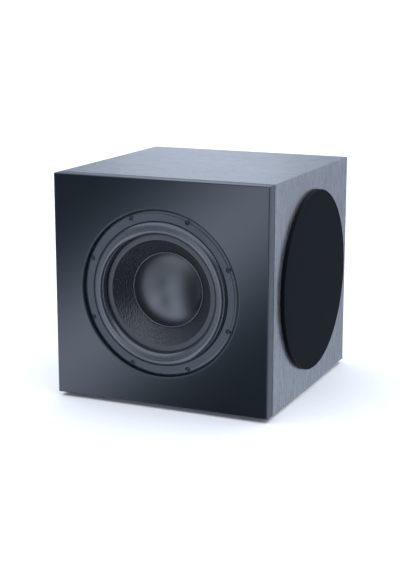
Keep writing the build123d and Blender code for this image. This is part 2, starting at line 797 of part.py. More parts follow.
with BuildPart() as magnet_rings:
    with BuildSketch(driver_section()):
        ring_face(MAGNET_FRONT, MAGNET_FRONT + MAGNET_THICK - RING_GLUE, MAGNET_BORE_R, MAGNET_R)
        ring_face(MAGNET_FRONT + MAGNET_THICK, MAGNET_REAR, MAGNET_BORE_R, MAGNET_R)
    revolve(axis=DRIVER_AXIS)
    chamfer(magnet_rings.edges().filter_by(GeomType.CIRCLE).group_by(SortBy.RADIUS)[-1], MAGNET_CHAMFER)
save(magnet_rings, "magnet_rings")

with BuildPart() as pole_piece:
    with BuildSketch(driver_section()):
        ring_face(MAGNET_REAR, MAGNET_REAR + PLATE_THICK, VENT_R, STEEL_R)
        ring_face(MOTOR_DEPTH, MAGNET_REAR, VENT_R, POLE_R)
    revolve(axis=DRIVER_AXIS)
save(pole_piece, "pole_piece")

# Terminal block under the basket, with two tabs
with BuildPart() as terminal_block:
    with BuildSketch(Plane.XY.offset(TERMINAL_Z - TERMINAL_TALL / 2)):
        with Locations((0, FRONT + TERMINAL_AT)):
            Rectangle(TERMINAL_WIDE, TERMINAL_LONG)
    extrude(amount=TERMINAL_TALL)
    with BuildSketch(rear_plane(FRONT + TERMINAL_AT - TERMINAL_LONG / 2, 0, TERMINAL_Z)):
        with Locations((-TAB_APART, 0), (TAB_APART, 0)):
            Rectangle(TAB_WIDE, TAB_THICK)
    extrude(amount=TAB_LONG)
save(terminal_block, "terminal_block")

# Tinsel leads, from the basket to the back of the cone
with BuildPart() as tinsel_leads:
    for x in (-TINSEL_X, TINSEL_X):
        with BuildLine() as tinsel_path:
            ThreePointArc(
                (x, FRONT + SPIDER_DEPTH - TINSEL_START[0], MIDDLE - SPIDER_R + TINSEL_START[1]),
                (x, FRONT + SPIDER_DEPTH - TINSEL_SAG[0], MIDDLE - TINSEL_SAG[1]),
                (x, FRONT + TINSEL_END[0], MIDDLE - TINSEL_END[1]),
            )
        with BuildSketch(Plane(origin=tinsel_path.wires()[0] @ 0, z_dir=tinsel_path.wires()[0] % 0)):
            Circle(TINSEL_R)
        sweep(path=tinsel_path.wires()[0])
save(tinsel_leads, "tinsel_leads")

# Passive radiators and grilles, one set to each side
RADIATOR_LIP = RADIATOR_FACE - LIP_THICK
RADIATOR_EDGE = roll_centre_depth(RADIATOR_LIP) + INNER_LIP_THICK
RADIATOR_DISC_BACK = RADIATOR_DISC_DEPTH + RADIATOR_DISC_THICK
for side, facing in (("left", -1), ("right", 1)):
    with BuildPart() as radiator_frame:
        with BuildSketch(side_section(facing)):
            polygon_face(
                [
                    (RADIATOR_FACE, RADIATOR_IN_R),
                    (RADIATOR_FACE, RADIATOR_R),
                    (REBATE_DEEP, RADIATOR_R),
                    (REBATE_DEEP, RADIATOR_IN_R + RADIATOR_FLANGE_WALL),
                    (REBATE_DEEP + RADIATOR_THROAT_LONG, RADIATOR_IN_R + RADIATOR_THROAT_WALL),
                    (RADIATOR_SEAT_DEPTH - SEAT_WALL, RADIATOR_SEAT_R),
                    (RADIATOR_SEAT_DEPTH + RADIATOR_SEAT_THICK, RADIATOR_SEAT_R),
                    (RADIATOR_SEAT_DEPTH + RADIATOR_SEAT_THICK, RADIATOR_LANDING_R),
                    (RADIATOR_SEAT_DEPTH + SPIDER_THICK, RADIATOR_LANDING_R),
                    (RADIATOR_SEAT_DEPTH + SPIDER_THICK, RADIATOR_SPIDER_R),
                    (RADIATOR_SEAT_DEPTH - RADIATOR_LANDING_WALL, RADIATOR_SPIDER_R),
                    (REBATE_DEEP + RADIATOR_THROAT_LONG, RADIATOR_IN_R),
                ]
            )
        revolve(axis=side_axis(facing))
        with BuildSketch(side_plane(facing, RADIATOR_SEAT_DEPTH - RADIATOR_WINDOW_BACK)):
            with PolarLocations(0, SPOKES):
                SlotArc(CenterArc((0, 0), RADIATOR_WINDOW_R, *SPOKE_ARC), RADIATOR_WINDOW_WIDE)
        window_long = RADIATOR_SEAT_DEPTH - RADIATOR_WINDOW_BACK - REBATE_DEEP - RADIATOR_WINDOW_FRONT
        extrude(amount=window_long, mode=Mode.SUBTRACT)
        with BuildSketch(side_plane(facing, REBATE_DEEP)):
            with PolarLocations(RADIATOR_SCREW_R, SCREW_COUNT, SCREW_TURN):
                Circle(SCREW_CLEAR_R)
        extrude(amount=REBATE_DEEP, mode=Mode.SUBTRACT)
    save(radiator_frame, f"{side}_radiator_frame")

    with BuildPart() as radiator_surround:
        with BuildSketch(side_section(facing)):
            roll_face(RADIATOR_LIP)
        revolve(axis=side_axis(facing))
    save(radiator_surround, f"{side}_radiator_surround")

    with BuildPart() as radiator_cone:
        with BuildSketch(side_section(facing)):
            polygon_face(
                [
                    (RADIATOR_EDGE, EDGE_R),
                    (RADIATOR_EDGE, INNER_LIP_R),
                    (RADIATOR_DISC_DEPTH, RADIATOR_DISC_R),
                    (RADIATOR_DISC_DEPTH, 0),
                    (RADIATOR_DISC_BACK, 0),
                    (RADIATOR_DISC_BACK, RADIATOR_TUBE_R - RADIATOR_TUBE_WALL),
                    (RADIATOR_SEAT_DEPTH + 3, RADIATOR_TUBE_R - RADIATOR_TUBE_WALL),
                    (RADIATOR_SEAT_DEPTH + 3, RADIATOR_TUBE_R),
                    (RADIATOR_DISC_BACK, RADIATOR_TUBE_R),
                    (RADIATOR_DISC_BACK, RADIATOR_DISC_R),
                    (RADIATOR_EDGE + RADIATOR_WALL, INNER_LIP_R + 1),
                    (RADIATOR_EDGE + RADIATOR_WALL, EDGE_R),
                ]
            )
        revolve(axis=side_axis(facing))
    save(radiator_cone, f"{side}_radiator_cone")

    with BuildPart() as radiator_weight:
        with BuildSketch(side_section(facing)):
            ring_face(
                RADIATOR_DISC_BACK,
                RADIATOR_DISC_BACK + WEIGHT_TALL,
                WEIGHT_BORE_R,
                RADIATOR_TUBE_R - RADIATOR_TUBE_WALL,
            )
        revolve(axis=side_axis(facing))
    save(radiator_weight, f"{side}_radiator_weight")

    with BuildPart() as radiator_spider:
        with BuildSketch(side_section(facing)):
            spider_face(
                RADIATOR_SEAT_DEPTH,
                RADIATOR_TUBE_R,
                RADIATOR_LANDING_R,
                RADIATOR_SPIDER_R - SPIDER_GAP,
                RADIATOR_WAVES,
            )
        revolve(axis=side_axis(facing))
    save(radiator_spider, f"{side}_radiator_spider")

    with BuildPart() as grille_frame:
        with BuildSketch(side_section(facing)):
            cloth_back = CLOTH_SINK + CLOTH_THICK - GRILLE_PROUD
            polygon_face(
                [
                    (0, GRILLE_IN_R),
                    (cloth_back, GRILLE_IN_R),
                    (cloth_back, GRILLE_R - RIM_WIDE),
                    (-GRILLE_PROUD, GRILLE_R - RIM_WIDE),
                    (-GRILLE_PROUD, GRILLE_R - GRILLE_CHAMFER),
                    (GRILLE_CHAMFER - GRILLE_PROUD, GRILLE_R),
                    (0, GRILLE_R),
                ]
            )
        revolve(axis=side_axis(facing))
        with BuildSketch(side_plane(facing, 0)):
            with PolarLocations(PEG_CIRCLE_R, PEG_COUNT, PEG_TURN):
                Circle(PEG_R)
        extrude(amount=-PEG_LONG)
    save(grille_frame, f"{side}_grille_frame")

    with BuildPart() as grille_cloth:
        with BuildSketch(side_plane(facing, cloth_back)):
            Circle(GRILLE_R - RIM_WIDE)
        extrude(amount=CLOTH_THICK)
    save(grille_cloth, f"{side}_grille_cloth")

# Screws that hold both radiators
with BuildPart() as radiator_screws:
    for facing in (-1, 1):
        with BuildSketch(side_plane(facing, RADIATOR_FACE)):
            with PolarLocations(RADIATOR_SCREW_R, SCREW_COUNT, SCREW_TURN):
                Circle(HEAD_R)
        extrude(amount=HEAD_TALL)
        with BuildSketch(side_plane(facing, RADIATOR_FACE)):
            with PolarLocations(RADIATOR_SCREW_R, SCREW_COUNT, SCREW_TURN):
                Circle(PILOT_R)
        extrude(amount=-RADIATOR_SCREW_LONG)
        with BuildSketch(side_plane(facing, RADIATOR_FACE - RADIATOR_HEX_FLOOR)):
            with PolarLocations(RADIATOR_SCREW_R, SCREW_COUNT, SCREW_TURN):
                RegularPolygon(HEX_R, HEX_SIDES)
        extrude(amount=HEX_CUT, mode=Mode.SUBTRACT)
save(radiator_screws, "radiator_screws")

# Rubber sockets that take the grilles' pegs
with BuildPart() as grille_sockets:
    for facing in (-1, 1):
        with BuildSketch(side_plane(facing, SOCKET_LONG)):
            with PolarLocations(PEG_CIRCLE_R, PEG_COUNT, PEG_TURN):
                Circle(SOCKET_R)
        extrude(amount=SOCKET_LONG)
        with BuildSketch(side_plane(facing, SOCKET_LONG - 1)):
            with PolarLocations(PEG_CIRCLE_R, PEG_COUNT, PEG_TURN):
                Circle(PEG_R + RUNNING_GAP)
        extrude(amount=SOCKET_LONG, mode=Mode.SUBTRACT)
save(grille_sockets, "grille_sockets")

# Amplifier plate
POT_PLACES = [(POT_X, z - MIDDLE) for z in POT_Z.values()]
LEVER_PLACES = [(x, LEVER_Z - MIDDLE) for x in LEVER_X.values()]
with BuildPart() as amp_plate:
    with BuildSketch(rear_plane(BACK)):
        RectangleRounded(AMP_WIDE, AMP_TALL, AMP_ROUNDING)
        with GridLocations(*AMP_SCREWS):
            Circle(AMP_SCREW_HOLE_R, mode=Mode.SUBTRACT)
        with Locations(*POT_PLACES):
            Circle(BUSH_HOLE_R, mode=Mode.SUBTRACT)
        with Locations(*LEVER_PLACES):
            Rectangle(LEVER_HOLE_WIDE, LEVER_HOLE_TALL, mode=Mode.SUBTRACT)
        with Locations(*[(x, SOCKET_Z - MIDDLE) for x in SOCKET_X]):
            Circle(JACK_HOLE_R, mode=Mode.SUBTRACT)
        with Locations((INLET_X, MAINS_Z - MIDDLE)):
            Rectangle(INLET_BODY_WIDE + HOLE_GAP, INLET_BODY_TALL + HOLE_GAP, mode=Mode.SUBTRACT)
        with Locations((ROCKER_X, MAINS_Z - MIDDLE)):
            Rectangle(ROCKER_BODY_WIDE + HOLE_GAP, ROCKER_BODY_TALL + HOLE_GAP, mode=Mode.SUBTRACT)
        with Locations((FUSE_X, MAINS_Z - MIDDLE)):
            Circle(FUSE_HOLE_R, mode=Mode.SUBTRACT)
        with Locations((LED_X, LED_Z - MIDDLE)):
            Circle(LAMP_R, mode=Mode.SUBTRACT)
    extrude(amount=-AMP_THICK)
save(amp_plate, "amp_plate")

with BuildPart() as amp_screws:
    with BuildSketch(rear_plane(AMP_FACE)):
        with GridLocations(*AMP_SCREWS):
            Circle(AMP_HEAD_R)
    extrude(amount=-AMP_HEAD_TALL)
    fillet(amp_screws.edges().group_by(Axis.Y)[-1], AMP_HEAD_ROUNDING)
    with BuildSketch(rear_plane(AMP_FACE)):
        with GridLocations(*AMP_SCREWS):
            Circle(AMP_SCREW_R)
    extrude(amount=AMP_SCREW_LONG)
    with BuildSketch(rear_plane(AMP_FACE + CROSS_FLOOR)):
        with GridLocations(*AMP_SCREWS):
            Rectangle(CROSS_LONG, CROSS_WIDE)
            Rectangle(CROSS_WIDE, CROSS_LONG)
    extrude(amount=-CROSS_CUT, mode=Mode.SUBTRACT)
save(amp_screws, "amp_screws")

# Heat sink: one extrusion with upright fins
with BuildPart() as heat_sink:
    with BuildSketch(Plane.XY.offset(SINK_Z - SINK_TALL / 2)):
        with Locations((SINK_X, AMP_FACE + SINK_BASE / 2)):
            Rectangle(SINK_WIDE, SINK_BASE)
        fin_tall = REAR_STICK_OUT - AMP_THICK - SINK_BASE
        with Locations((SINK_X, AMP_FACE + SINK_BASE + fin_tall / 2)):
            with GridLocations((SINK_WIDE - FIN_THICK) / (FIN_COUNT - 1), 1, FIN_COUNT, 1):
                Rectangle(FIN_THICK, fin_tall)
    extrude(amount=SINK_TALL)
save(heat_sink, "heat_sink")

# Circuit board on four posts, and its two reservoir capacitors
with BuildPart() as circuit_board:
    with BuildSketch(rear_plane(BOARD_FACE_Y, BOARD_X, BOARD_Z)):
        Rectangle(BOARD_WIDE, BOARD_TALL)
    extrude(amount=BOARD_LAMINATE)
    with BuildSketch(rear_plane(BACK, BOARD_X, BOARD_Z)):
        with GridLocations(BOARD_WIDE - 2 * POST_INSET, BOARD_TALL - 2 * POST_INSET, 2, 2):
            Circle(POST_R)
    extrude(amount=BACK - BOARD_FACE_Y)
    with BuildSketch(rear_plane(BOARD_FACE_Y - BOARD_LAMINATE, BOARD_X, BOARD_Z)):
        with Locations(*CAPACITOR_PLACES):
            Circle(CAPACITOR_R)
    extrude(amount=CAPACITOR_LONG)
    fillet(circuit_board.edges().group_by(Axis.Y)[0], CAPACITOR_ROUNDING)
save(circuit_board, "circuit_board")

# Toroidal transformer bolted to the plate, with its cupped washer
with BuildPart() as transformer:
    with BuildSketch(rear_plane(BACK, TOROID_X, TOROID_Z)):
        Circle(TOROID_R)
        Circle(TOROID_BORE_R, mode=Mode.SUBTRACT)
    extrude(amount=TOROID_TALL)
    fillet(transformer.edges().filter_by(GeomType.CIRCLE), TOROID_ROUNDING)
save(transformer, "transformer")

# Mains inlet, its pins, the fuse holder and the status lamp
with BuildPart() as mains_inlet:
    with BuildSketch(rear_plane(AMP_FACE, INLET_X, MAINS_Z)):
        RectangleRounded(INLET_WIDE, INLET_TALL, INLET_ROUNDING)
    extrude(amount=-FLANGE_TALL)
    with BuildSketch(rear_plane(AMP_FACE, INLET_X, MAINS_Z)):
        Rectangle(INLET_BODY_WIDE, INLET_BODY_TALL)
    extrude(amount=INLET_LONG)
    with BuildSketch(rear_plane(AMP_FACE + FLANGE_TALL, INLET_X, MAINS_Z)):
        with BuildLine():
            Polyline(
                (-CAVITY_HALF_WIDE, CAVITY_HALF_TALL),
                (-CAVITY_HALF_WIDE, CAVITY_CORNER - CAVITY_HALF_TALL),
                (CAVITY_CORNER - CAVITY_HALF_WIDE, -CAVITY_HALF_TALL),
                (CAVITY_HALF_WIDE - CAVITY_CORNER, -CAVITY_HALF_TALL),
                (CAVITY_HALF_WIDE, CAVITY_CORNER - CAVITY_HALF_TALL),
                (CAVITY_HALF_WIDE, CAVITY_HALF_TALL),
                close=True,
            )
        make_face()
    extrude(amount=CAVITY_DEEP, mode=Mode.SUBTRACT)
save(mains_inlet, "mains_inlet")

with BuildPart() as inlet_pins:
    with BuildSketch(rear_plane(AMP_FACE - PIN_ROOT, INLET_X, MAINS_Z)):
        with Locations(*PIN_PLACES):
            Rectangle(PIN_WIDE, PIN_TALL)
    extrude(amount=-PIN_LONG)
save(inlet_pins, "inlet_pins")

with BuildPart() as fuse_holder:
    with BuildSketch(rear_plane(AMP_FACE, FUSE_X, MAINS_Z)):
        Circle(FUSE_FLANGE_R)
    extrude(amount=-FLANGE_TALL)
    with BuildSketch(rear_plane(AMP_FACE, FUSE_X, MAINS_Z)):
        Circle(FUSE_R)
    extrude(amount=FUSE_LONG)
    with BuildSketch(rear_plane(AMP_FACE + FLANGE_TALL, FUSE_X, MAINS_Z)):
        Circle(FUSE_R)
    extrude(amount=-FUSE_CAP_TALL)
    with BuildSketch(rear_plane(AMP_FACE + FUSE_SLOT_FLOOR, FUSE_X, MAINS_Z)):
        Rectangle(FUSE_SLOT_LONG, FUSE_SLOT_WIDE)
    extrude(amount=-FUSE_SLOT_CUT, mode=Mode.SUBTRACT)
save(fuse_holder, "fuse_holder")

with BuildPart() as status_lamp:
    with BuildSketch(rear_plane(BACK, LED_X, LED_Z)):
        Circle(LAMP_R)
    extrude(amount=-AMP_THICK - LAMP_PROUD)
    fillet(status_lamp.edges().group_by(Axis.Y)[-1], LAMP_ROUNDING)
save(status_lamp, "status_lamp")

# Knobs with their shafts, and the potentiometers they turn in
for name, z in POT_Z.items():
    with BuildPart() as knob:
        with BuildSketch(rear_plane(AMP_FACE + KNOB_STAND, POT_X, z)):
            Circle(KNOB_R)
        extrude(amount=-KNOB_TALL, taper=KNOB_TAPER)
        fillet(knob.edges().group_by(Axis.Y)[-1], KNOB_ROUNDING)
        with BuildSketch(rear_plane(AMP_FACE + KNOB_STAND, POT_X, z)):
            Circle(SHAFT_R)
        extrude(amount=SHAFT_LONG)
        with BuildSketch(rear_plane(AMP_FACE + KNOB_STAND + KNOB_TALL - KNOB_MARK_DEEP, POT_X, z)):
            with Locations((0, KNOB_MARK_LONG)):
                Rectangle(KNOB_MARK_WIDE, KNOB_MARK_LONG)
        extrude(amount=-KNOB_MARK_CUT, mode=Mode.SUBTRACT)
    save(knob, f"{name}_knob")

with BuildPart() as potentiometers:
    with BuildSketch(rear_plane(BACK)):
        with Locations(*POT_PLACES):
            Rectangle(POT_WIDE, POT_WIDE)
    extrude(amount=POT_LONG)
    with BuildSketch(rear_plane(AMP_FACE + BUSH_PROUD)):
        with Locations(*POT_PLACES):
            Circle(BUSH_R)
    extrude(amount=AMP_THICK + 2 * BUSH_PROUD)
    with BuildSketch(rear_plane(AMP_FACE + BUSH_PROUD)):
        with Locations(*POT_PLACES):
            Circle(SHAFT_R + RUNNING_GAP)
    extrude(amount=AMP_THICK + POT_LONG - BUSH_PROUD, mode=Mode.SUBTRACT)
save(potentiometers, "potentiometers")

# Two slide switches and the rocker's housing, then what moves in them
with BuildPart() as switch_bodies:
    with BuildSketch(rear_plane(BACK)):
        with Locations(*LEVER_PLACES):
            Rectangle(SLIDE_WIDE, SLIDE_TALL)
    extrude(amount=SLIDE_LONG)
    with BuildSketch(rear_plane(BACK)):
        with Locations(*LEVER_PLACES):
            Rectangle(LEVER_SLOT, LEVER_SIZE + LEVER_GAP)
    extrude(amount=SLIDE_CUT, mode=Mode.SUBTRACT)
    with BuildSketch(rear_plane(AMP_FACE, ROCKER_X, MAINS_Z)):
        RectangleRounded(ROCKER_FLANGE_WIDE, ROCKER_FLANGE_TALL, ROCKER_FLANGE_ROUNDING)
    extrude(amount=-FLANGE_TALL)
    with BuildSketch(rear_plane(AMP_FACE, ROCKER_X, MAINS_Z)):
        Rectangle(ROCKER_BODY_WIDE, ROCKER_BODY_TALL)
    extrude(amount=ROCKER_BODY_LONG)
    with BuildSketch(rear_plane(AMP_FACE + FLANGE_TALL, ROCKER_X, MAINS_Z)):
        Rectangle(ROCKER_WELL_WIDE, ROCKER_WELL_TALL)
    extrude(amount=ROCKER_WELL_DEEP, mode=Mode.SUBTRACT)
save(switch_bodies, "switch_bodies")

for name, x in LEVER_X.items():
    with BuildPart() as lever:
        with BuildSketch(rear_plane(BACK - LEVER_BACK, x - LEVER_TRAVEL[name] / 2, LEVER_Z)):
            Rectangle(LEVER_SIZE, LEVER_SIZE)
        extrude(amount=-LEVER_LONG)
    save(lever, f"{name}_lever")

with BuildPart() as mains_rocker:
    tilt = radians(ROCKER_TILT)
    rocker_plane = Plane(
        origin=(ROCKER_X - ROCKER_WIDE / 2, ROCKER_PIVOT_Y, MAINS_Z),
        x_dir=(0, sin(tilt), cos(tilt)),
        z_dir=(1, 0, 0),
    )
    with BuildSketch(rocker_plane):
        with BuildLine():
            ends = (-ROCKER_HALF, -ROCKER_END), (ROCKER_HALF, -ROCKER_END)
            face_arc = ThreePointArc(ends[0], (0, -ROCKER_DISH), ends[1])
            Polyline(
                face_arc @ 1,
                (ROCKER_HALF, ROCKER_SHOULDER),
                (0, ROCKER_TOE),
                (-ROCKER_HALF, ROCKER_SHOULDER),
                face_arc @ 0,
            )
        make_face()
    extrude(amount=ROCKER_WIDE)
save(mains_rocker, "mains_rocker")

# Line-level input jacks
with BuildPart() as input_jacks:
    jack_places = [(x, SOCKET_Z - MIDDLE) for x in SOCKET_X]
    with BuildSketch(rear_plane(AMP_FACE)):
        with Locations(*jack_places):
            Circle(JACK_NUT_R)
    extrude(amount=-JACK_NUT_TALL)
    with BuildSketch(rear_plane(AMP_FACE)):
        with Locations(*jack_places):
            Circle(JACK_BODY_R)
    extrude(amount=JACK_BODY_LONG)
    with BuildSketch(rear_plane(AMP_FACE + JACK_NUT_TALL)):
        with Locations(*jack_places):
            Circle(JACK_R)
    extrude(amount=-JACK_LONG)
    with BuildSketch(rear_plane(AMP_FACE + JACK_NUT_TALL + JACK_LONG)):
        with Locations(*jack_places):
            Circle(JACK_BORE_R)
    extrude(amount=JACK_LONG, mode=Mode.SUBTRACT)
save(input_jacks, "input_jacks")


def path_radii(points):
    """The largest tangent arc that the two runs at each corner leave room for."""
    corners = [Vector(*p) for p in points]
    radii = []
    for before, corner, after in zip(corners, corners[1:], corners[2:]):
        shorter = min((corner - before).length, (after - corner).length)
        half_turn = radians((corner - before).get_angle(after - corner)) / 2
        radii.append(LEAD_BEND * shorter / tan(half_turn))
    return radii


# Driver lead: one round cable, clipped where it crosses the brace
LEAD_RADII = path_radii(LEAD_POINTS)
print("lead radii", [round(r, 1) for r in LEAD_RADII])
with BuildPart() as driver_lead:
    with BuildLine() as lead_path:
        FilletPolyline(*LEAD_POINTS, radius=LEAD_RADII)
    with BuildSketch(Plane(origin=LEAD_POINTS[0], x_dir=(1, 0, 0), z_dir=(0, -1, 0))):
        Circle(LEAD_R)
    sweep(path=lead_path.wires()[0])
lead_long = lead_path.wires()[0].length
lead_volume = lead_long * pi * LEAD_R**2
print("lead length", round(lead_long, 1), "volume ratio", round(driver_lead.part.volume / lead_volume, 4))
save(driver_lead, "driver_lead")

with BuildPart() as lead_clip:
    with BuildSketch(rear_plane(CLIP_Y + CLIP_LONG / 2, LEAD_POINTS[3][0], LEAD_POINTS[3][2])):
        with Locations((0, -CLIP_SHIFT)):
            Rectangle(CLIP_WIDE, CLIP_TALL)
        Circle(LEAD_R, mode=Mode.SUBTRACT)
    extrude(amount=CLIP_LONG)
save(lead_clip, "lead_clip")

# Damping wadding under the top panel
with BuildPart() as damping_wadding:
    with BuildSketch(Plane.XY.offset(INNER_HIGH)):
        with Locations((0, WADDING_Y)):
            RectangleRounded(WADDING_WIDE, WADDING_LONG, WADDING_CORNER)
    extrude(amount=-WADDING_TALL)
    fillet(damping_wadding.edges().group_by(Axis.Z)[0], WADDING_ROUNDING)
save(damping_wadding, "damping_wadding")
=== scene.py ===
"""Looks of a powered subwoofer: gloss front, brushed cabinet, long-throw driver and cloth side grilles."""

from math import asin, atan2, cos, pi, radians, sin, sqrt

import bmesh
import bpy
from mathutils import Matrix, Vector
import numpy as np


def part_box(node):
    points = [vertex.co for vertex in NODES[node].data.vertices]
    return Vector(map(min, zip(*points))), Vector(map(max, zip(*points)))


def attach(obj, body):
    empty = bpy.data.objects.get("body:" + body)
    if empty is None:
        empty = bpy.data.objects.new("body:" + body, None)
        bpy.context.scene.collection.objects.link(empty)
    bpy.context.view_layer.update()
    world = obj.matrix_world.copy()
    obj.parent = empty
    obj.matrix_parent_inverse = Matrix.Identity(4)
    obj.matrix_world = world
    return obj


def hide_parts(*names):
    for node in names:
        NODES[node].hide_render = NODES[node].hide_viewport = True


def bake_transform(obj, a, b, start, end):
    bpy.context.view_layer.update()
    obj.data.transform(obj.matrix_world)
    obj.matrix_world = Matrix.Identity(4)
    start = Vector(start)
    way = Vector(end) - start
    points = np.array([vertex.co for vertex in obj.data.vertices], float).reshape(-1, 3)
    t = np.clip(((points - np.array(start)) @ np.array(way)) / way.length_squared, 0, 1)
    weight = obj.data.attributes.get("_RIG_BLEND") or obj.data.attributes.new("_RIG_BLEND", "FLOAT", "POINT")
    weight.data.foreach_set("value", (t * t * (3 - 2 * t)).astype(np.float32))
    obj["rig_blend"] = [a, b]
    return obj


bl_info = {
    "name": "Powered Subwoofer",
    "version": (1, 0, 0),
    "blender": (4, 5, 0),
    "location": "View3D > Sidebar > Subwoofer",
    "description": "Builds the looks of a powered subwoofer around its CAD frame",
    "category": "Object",
}

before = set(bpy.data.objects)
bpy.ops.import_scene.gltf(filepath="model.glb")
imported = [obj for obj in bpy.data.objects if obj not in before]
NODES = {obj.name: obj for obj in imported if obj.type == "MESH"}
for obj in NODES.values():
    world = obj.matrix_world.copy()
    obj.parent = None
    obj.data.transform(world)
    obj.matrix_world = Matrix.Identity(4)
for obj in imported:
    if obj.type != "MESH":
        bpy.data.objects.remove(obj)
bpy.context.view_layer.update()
MM = 0.001

# ---------------------------------------------------------------- places read from the frame


def low(node):
    """Lowest corner of a CAD node."""
    return Vector(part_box(node)[0])


def high(node):
    """Highest corner of a CAD node."""
    return Vector(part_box(node)[1])


def middle(node):
    """Centre of a CAD node's box."""
    return (low(node) + high(node)) / 2


class Section:
    """The half plane of a round part: depth runs inwards from a face, radius runs out from the axis."""

    def __init__(self, origin, inward):
        self.origin = Vector(origin)
        self.inward = Vector(inward)
        self.up = Vector((0, 0, 1))
        self.across = self.up.cross(self.inward)

    def point(self, depth, radius, angle):
        """The point at a depth and radius, at an angle counted from straight up."""
        rim = self.up * cos(angle) + self.across * sin(angle)
        return self.origin + self.inward * depth + rim * radius

    def depths_of(self, node):
        """Least and greatest depth of a CAD node's box."""
        corners = (low(node), high(node))
        return sorted((corner - self.origin).dot(self.inward) for corner in corners)

    def radius_of(self, spot):
        """Distance of a point from the axis."""
        offset = Vector(spot) - self.origin
        return (offset - self.inward * offset.dot(self.inward)).length


DRIVER_Z = middle("front_fascia").z
FACE_Y = low("front_fascia").y
SIDE_Y = middle("right_side_panel").y
FLOOR_Z = low("rubber_feet").z

DRIVER = Section((0, FACE_Y, DRIVER_Z), (0, 1, 0))
SIDES = {
    "left": Section((low("left_side_panel").x, SIDE_Y, DRIVER_Z), (1, 0, 0)),
    "right": Section((high("right_side_panel").x, SIDE_Y, DRIVER_Z), (-1, 0, 0)),
}

# ---------------------------------------------------------------- light of the studio

# Level of the cards round the object, by bearing in degrees: 0 is straight ahead of the fascia.
CARD_LEVELS = [
    (-180, 0.2), (-167, 0.05), (-157, 1.15), (-146, 0.35), (-125, 0.5), (-80, 0.8), (-62, 1.5), (-33, 1.75),
    (-8, 2.3), (3, 2.8), (10, 0.05), (42, 0.05), (44, 2.8), (50, 2.8), (53, 0.05), (90, 0.05), (97, 1.4),
    (112, 1.4), (120, 0.9), (140, 0.85), (156, 0.9), (164, 0.55), (180, 0.2),
]
# Share of that level by height: 0 is straight down, 0.5 the horizon and 1 straight up.
CARD_HEIGHTS = [
    (0.0, 0.7), (0.2, 1.2), (0.33, 1.3), (0.39, 1.0), (0.46, 1.0), (0.55, 0.8), (0.66, 0.5), (0.76, 0.0),
]
# A dark slot in the cards, which the fascia mirrors.
SLOT_BEARINGS = [(-36, 0.0), (-32.5, 1.0), (-19.5, 1.0), (-16, 0.0)]
SLOT_HEIGHTS = [(0.22, 0.0), (0.36, 1.0), (0.475, 1.0), (0.60, 0.0)]
SLOT_LEVEL = 0.12
# Level of the ceiling from the horizon at 0 to straight up at 1.
CEILING_LEVELS = [(0.0, 0.12), (0.2, 0.25), (0.3, 0.7), (0.45, 2.2), (1.0, 2.3)]
# A tilted strip of light below the horizon: across it the level falls off as a bell curve.
STRIP_NORMAL = (-0.635, 0.110, 0.765)
STRIP_MIDDLE = (-0.425, -0.876, -0.227)
STRIP_WIDTH = 0.049
STRIP_REACH = 6.0
STRIP_LEVEL = 3.1
CARD_FULL = 10.0
HEIGHT_FULL = 2.0
TINT_BELOW = (0.70, 0.81, 1.0, 1)
TINT_ABOVE = (0.74, 0.84, 1.0, 1)

# ---------------------------------------------------------------- fineness and other constants

TURNS = 240
SIDE_TURNS = 192
ROLL_STEPS = 40
MERGE_DISTANCE = 1e-6
LOOSE_SEED = 7
# Bands that a wave texture of scale 1 draws in a metre.
WAVE_BANDS = 3.18

# ---------------------------------------------------------------- sizes and colours a user may change


class DriverSizes(bpy.types.PropertyGroup):
    """Sizes of the driver and of the radiators' surrounds."""

    lip_depth: bpy.props.FloatProperty(
        name="Lip depth", description="Depth of the outer lip's face behind the fascia",
        default=4.7 * MM, unit="LENGTH",
    )
    roll_radius: bpy.props.FloatProperty(
        name="Roll radius", description="Outer radius of the half roll's section",
        default=13.3 * MM, unit="LENGTH",
    )
    roll_middle: bpy.props.FloatProperty(
        name="Roll middle", description="Distance of the roll's centre from the axis",
        default=120.3 * MM, unit="LENGTH",
    )
    roll_start: bpy.props.FloatProperty(
        name="Roll start", description="Where the roll's arc leaves the outer lip",
        default=radians(110), subtype="ANGLE",
    )
    roll_sweep: bpy.props.FloatProperty(
        name="Roll sweep", description="How far the roll's arc turns",
        default=radians(160), subtype="ANGLE",
    )
    roll_thick: bpy.props.FloatProperty(
        name="Roll thickness", description="Thickness of the rubber",
        default=1.2 * MM, unit="LENGTH",
    )
    inner_lip: bpy.props.FloatProperty(
        name="Inner lip", description="Radius where the surround's inner lip ends on the cone",
        default=97 * MM, unit="LENGTH",
    )
    cap_radius: bpy.props.FloatProperty(
        name="Cap radius", description="Radius of the dust cap's edge",
        default=68.5 * MM, unit="LENGTH",
    )
    cap_rise: bpy.props.FloatProperty(
        name="Cap rise", description="Height of the dust cap's dome",
        default=20 * MM, unit="LENGTH",
    )
    neck_depth: bpy.props.FloatProperty(
        name="Neck depth", description="Depth of the cone's neck behind the fascia",
        default=76 * MM, unit="LENGTH",
    )


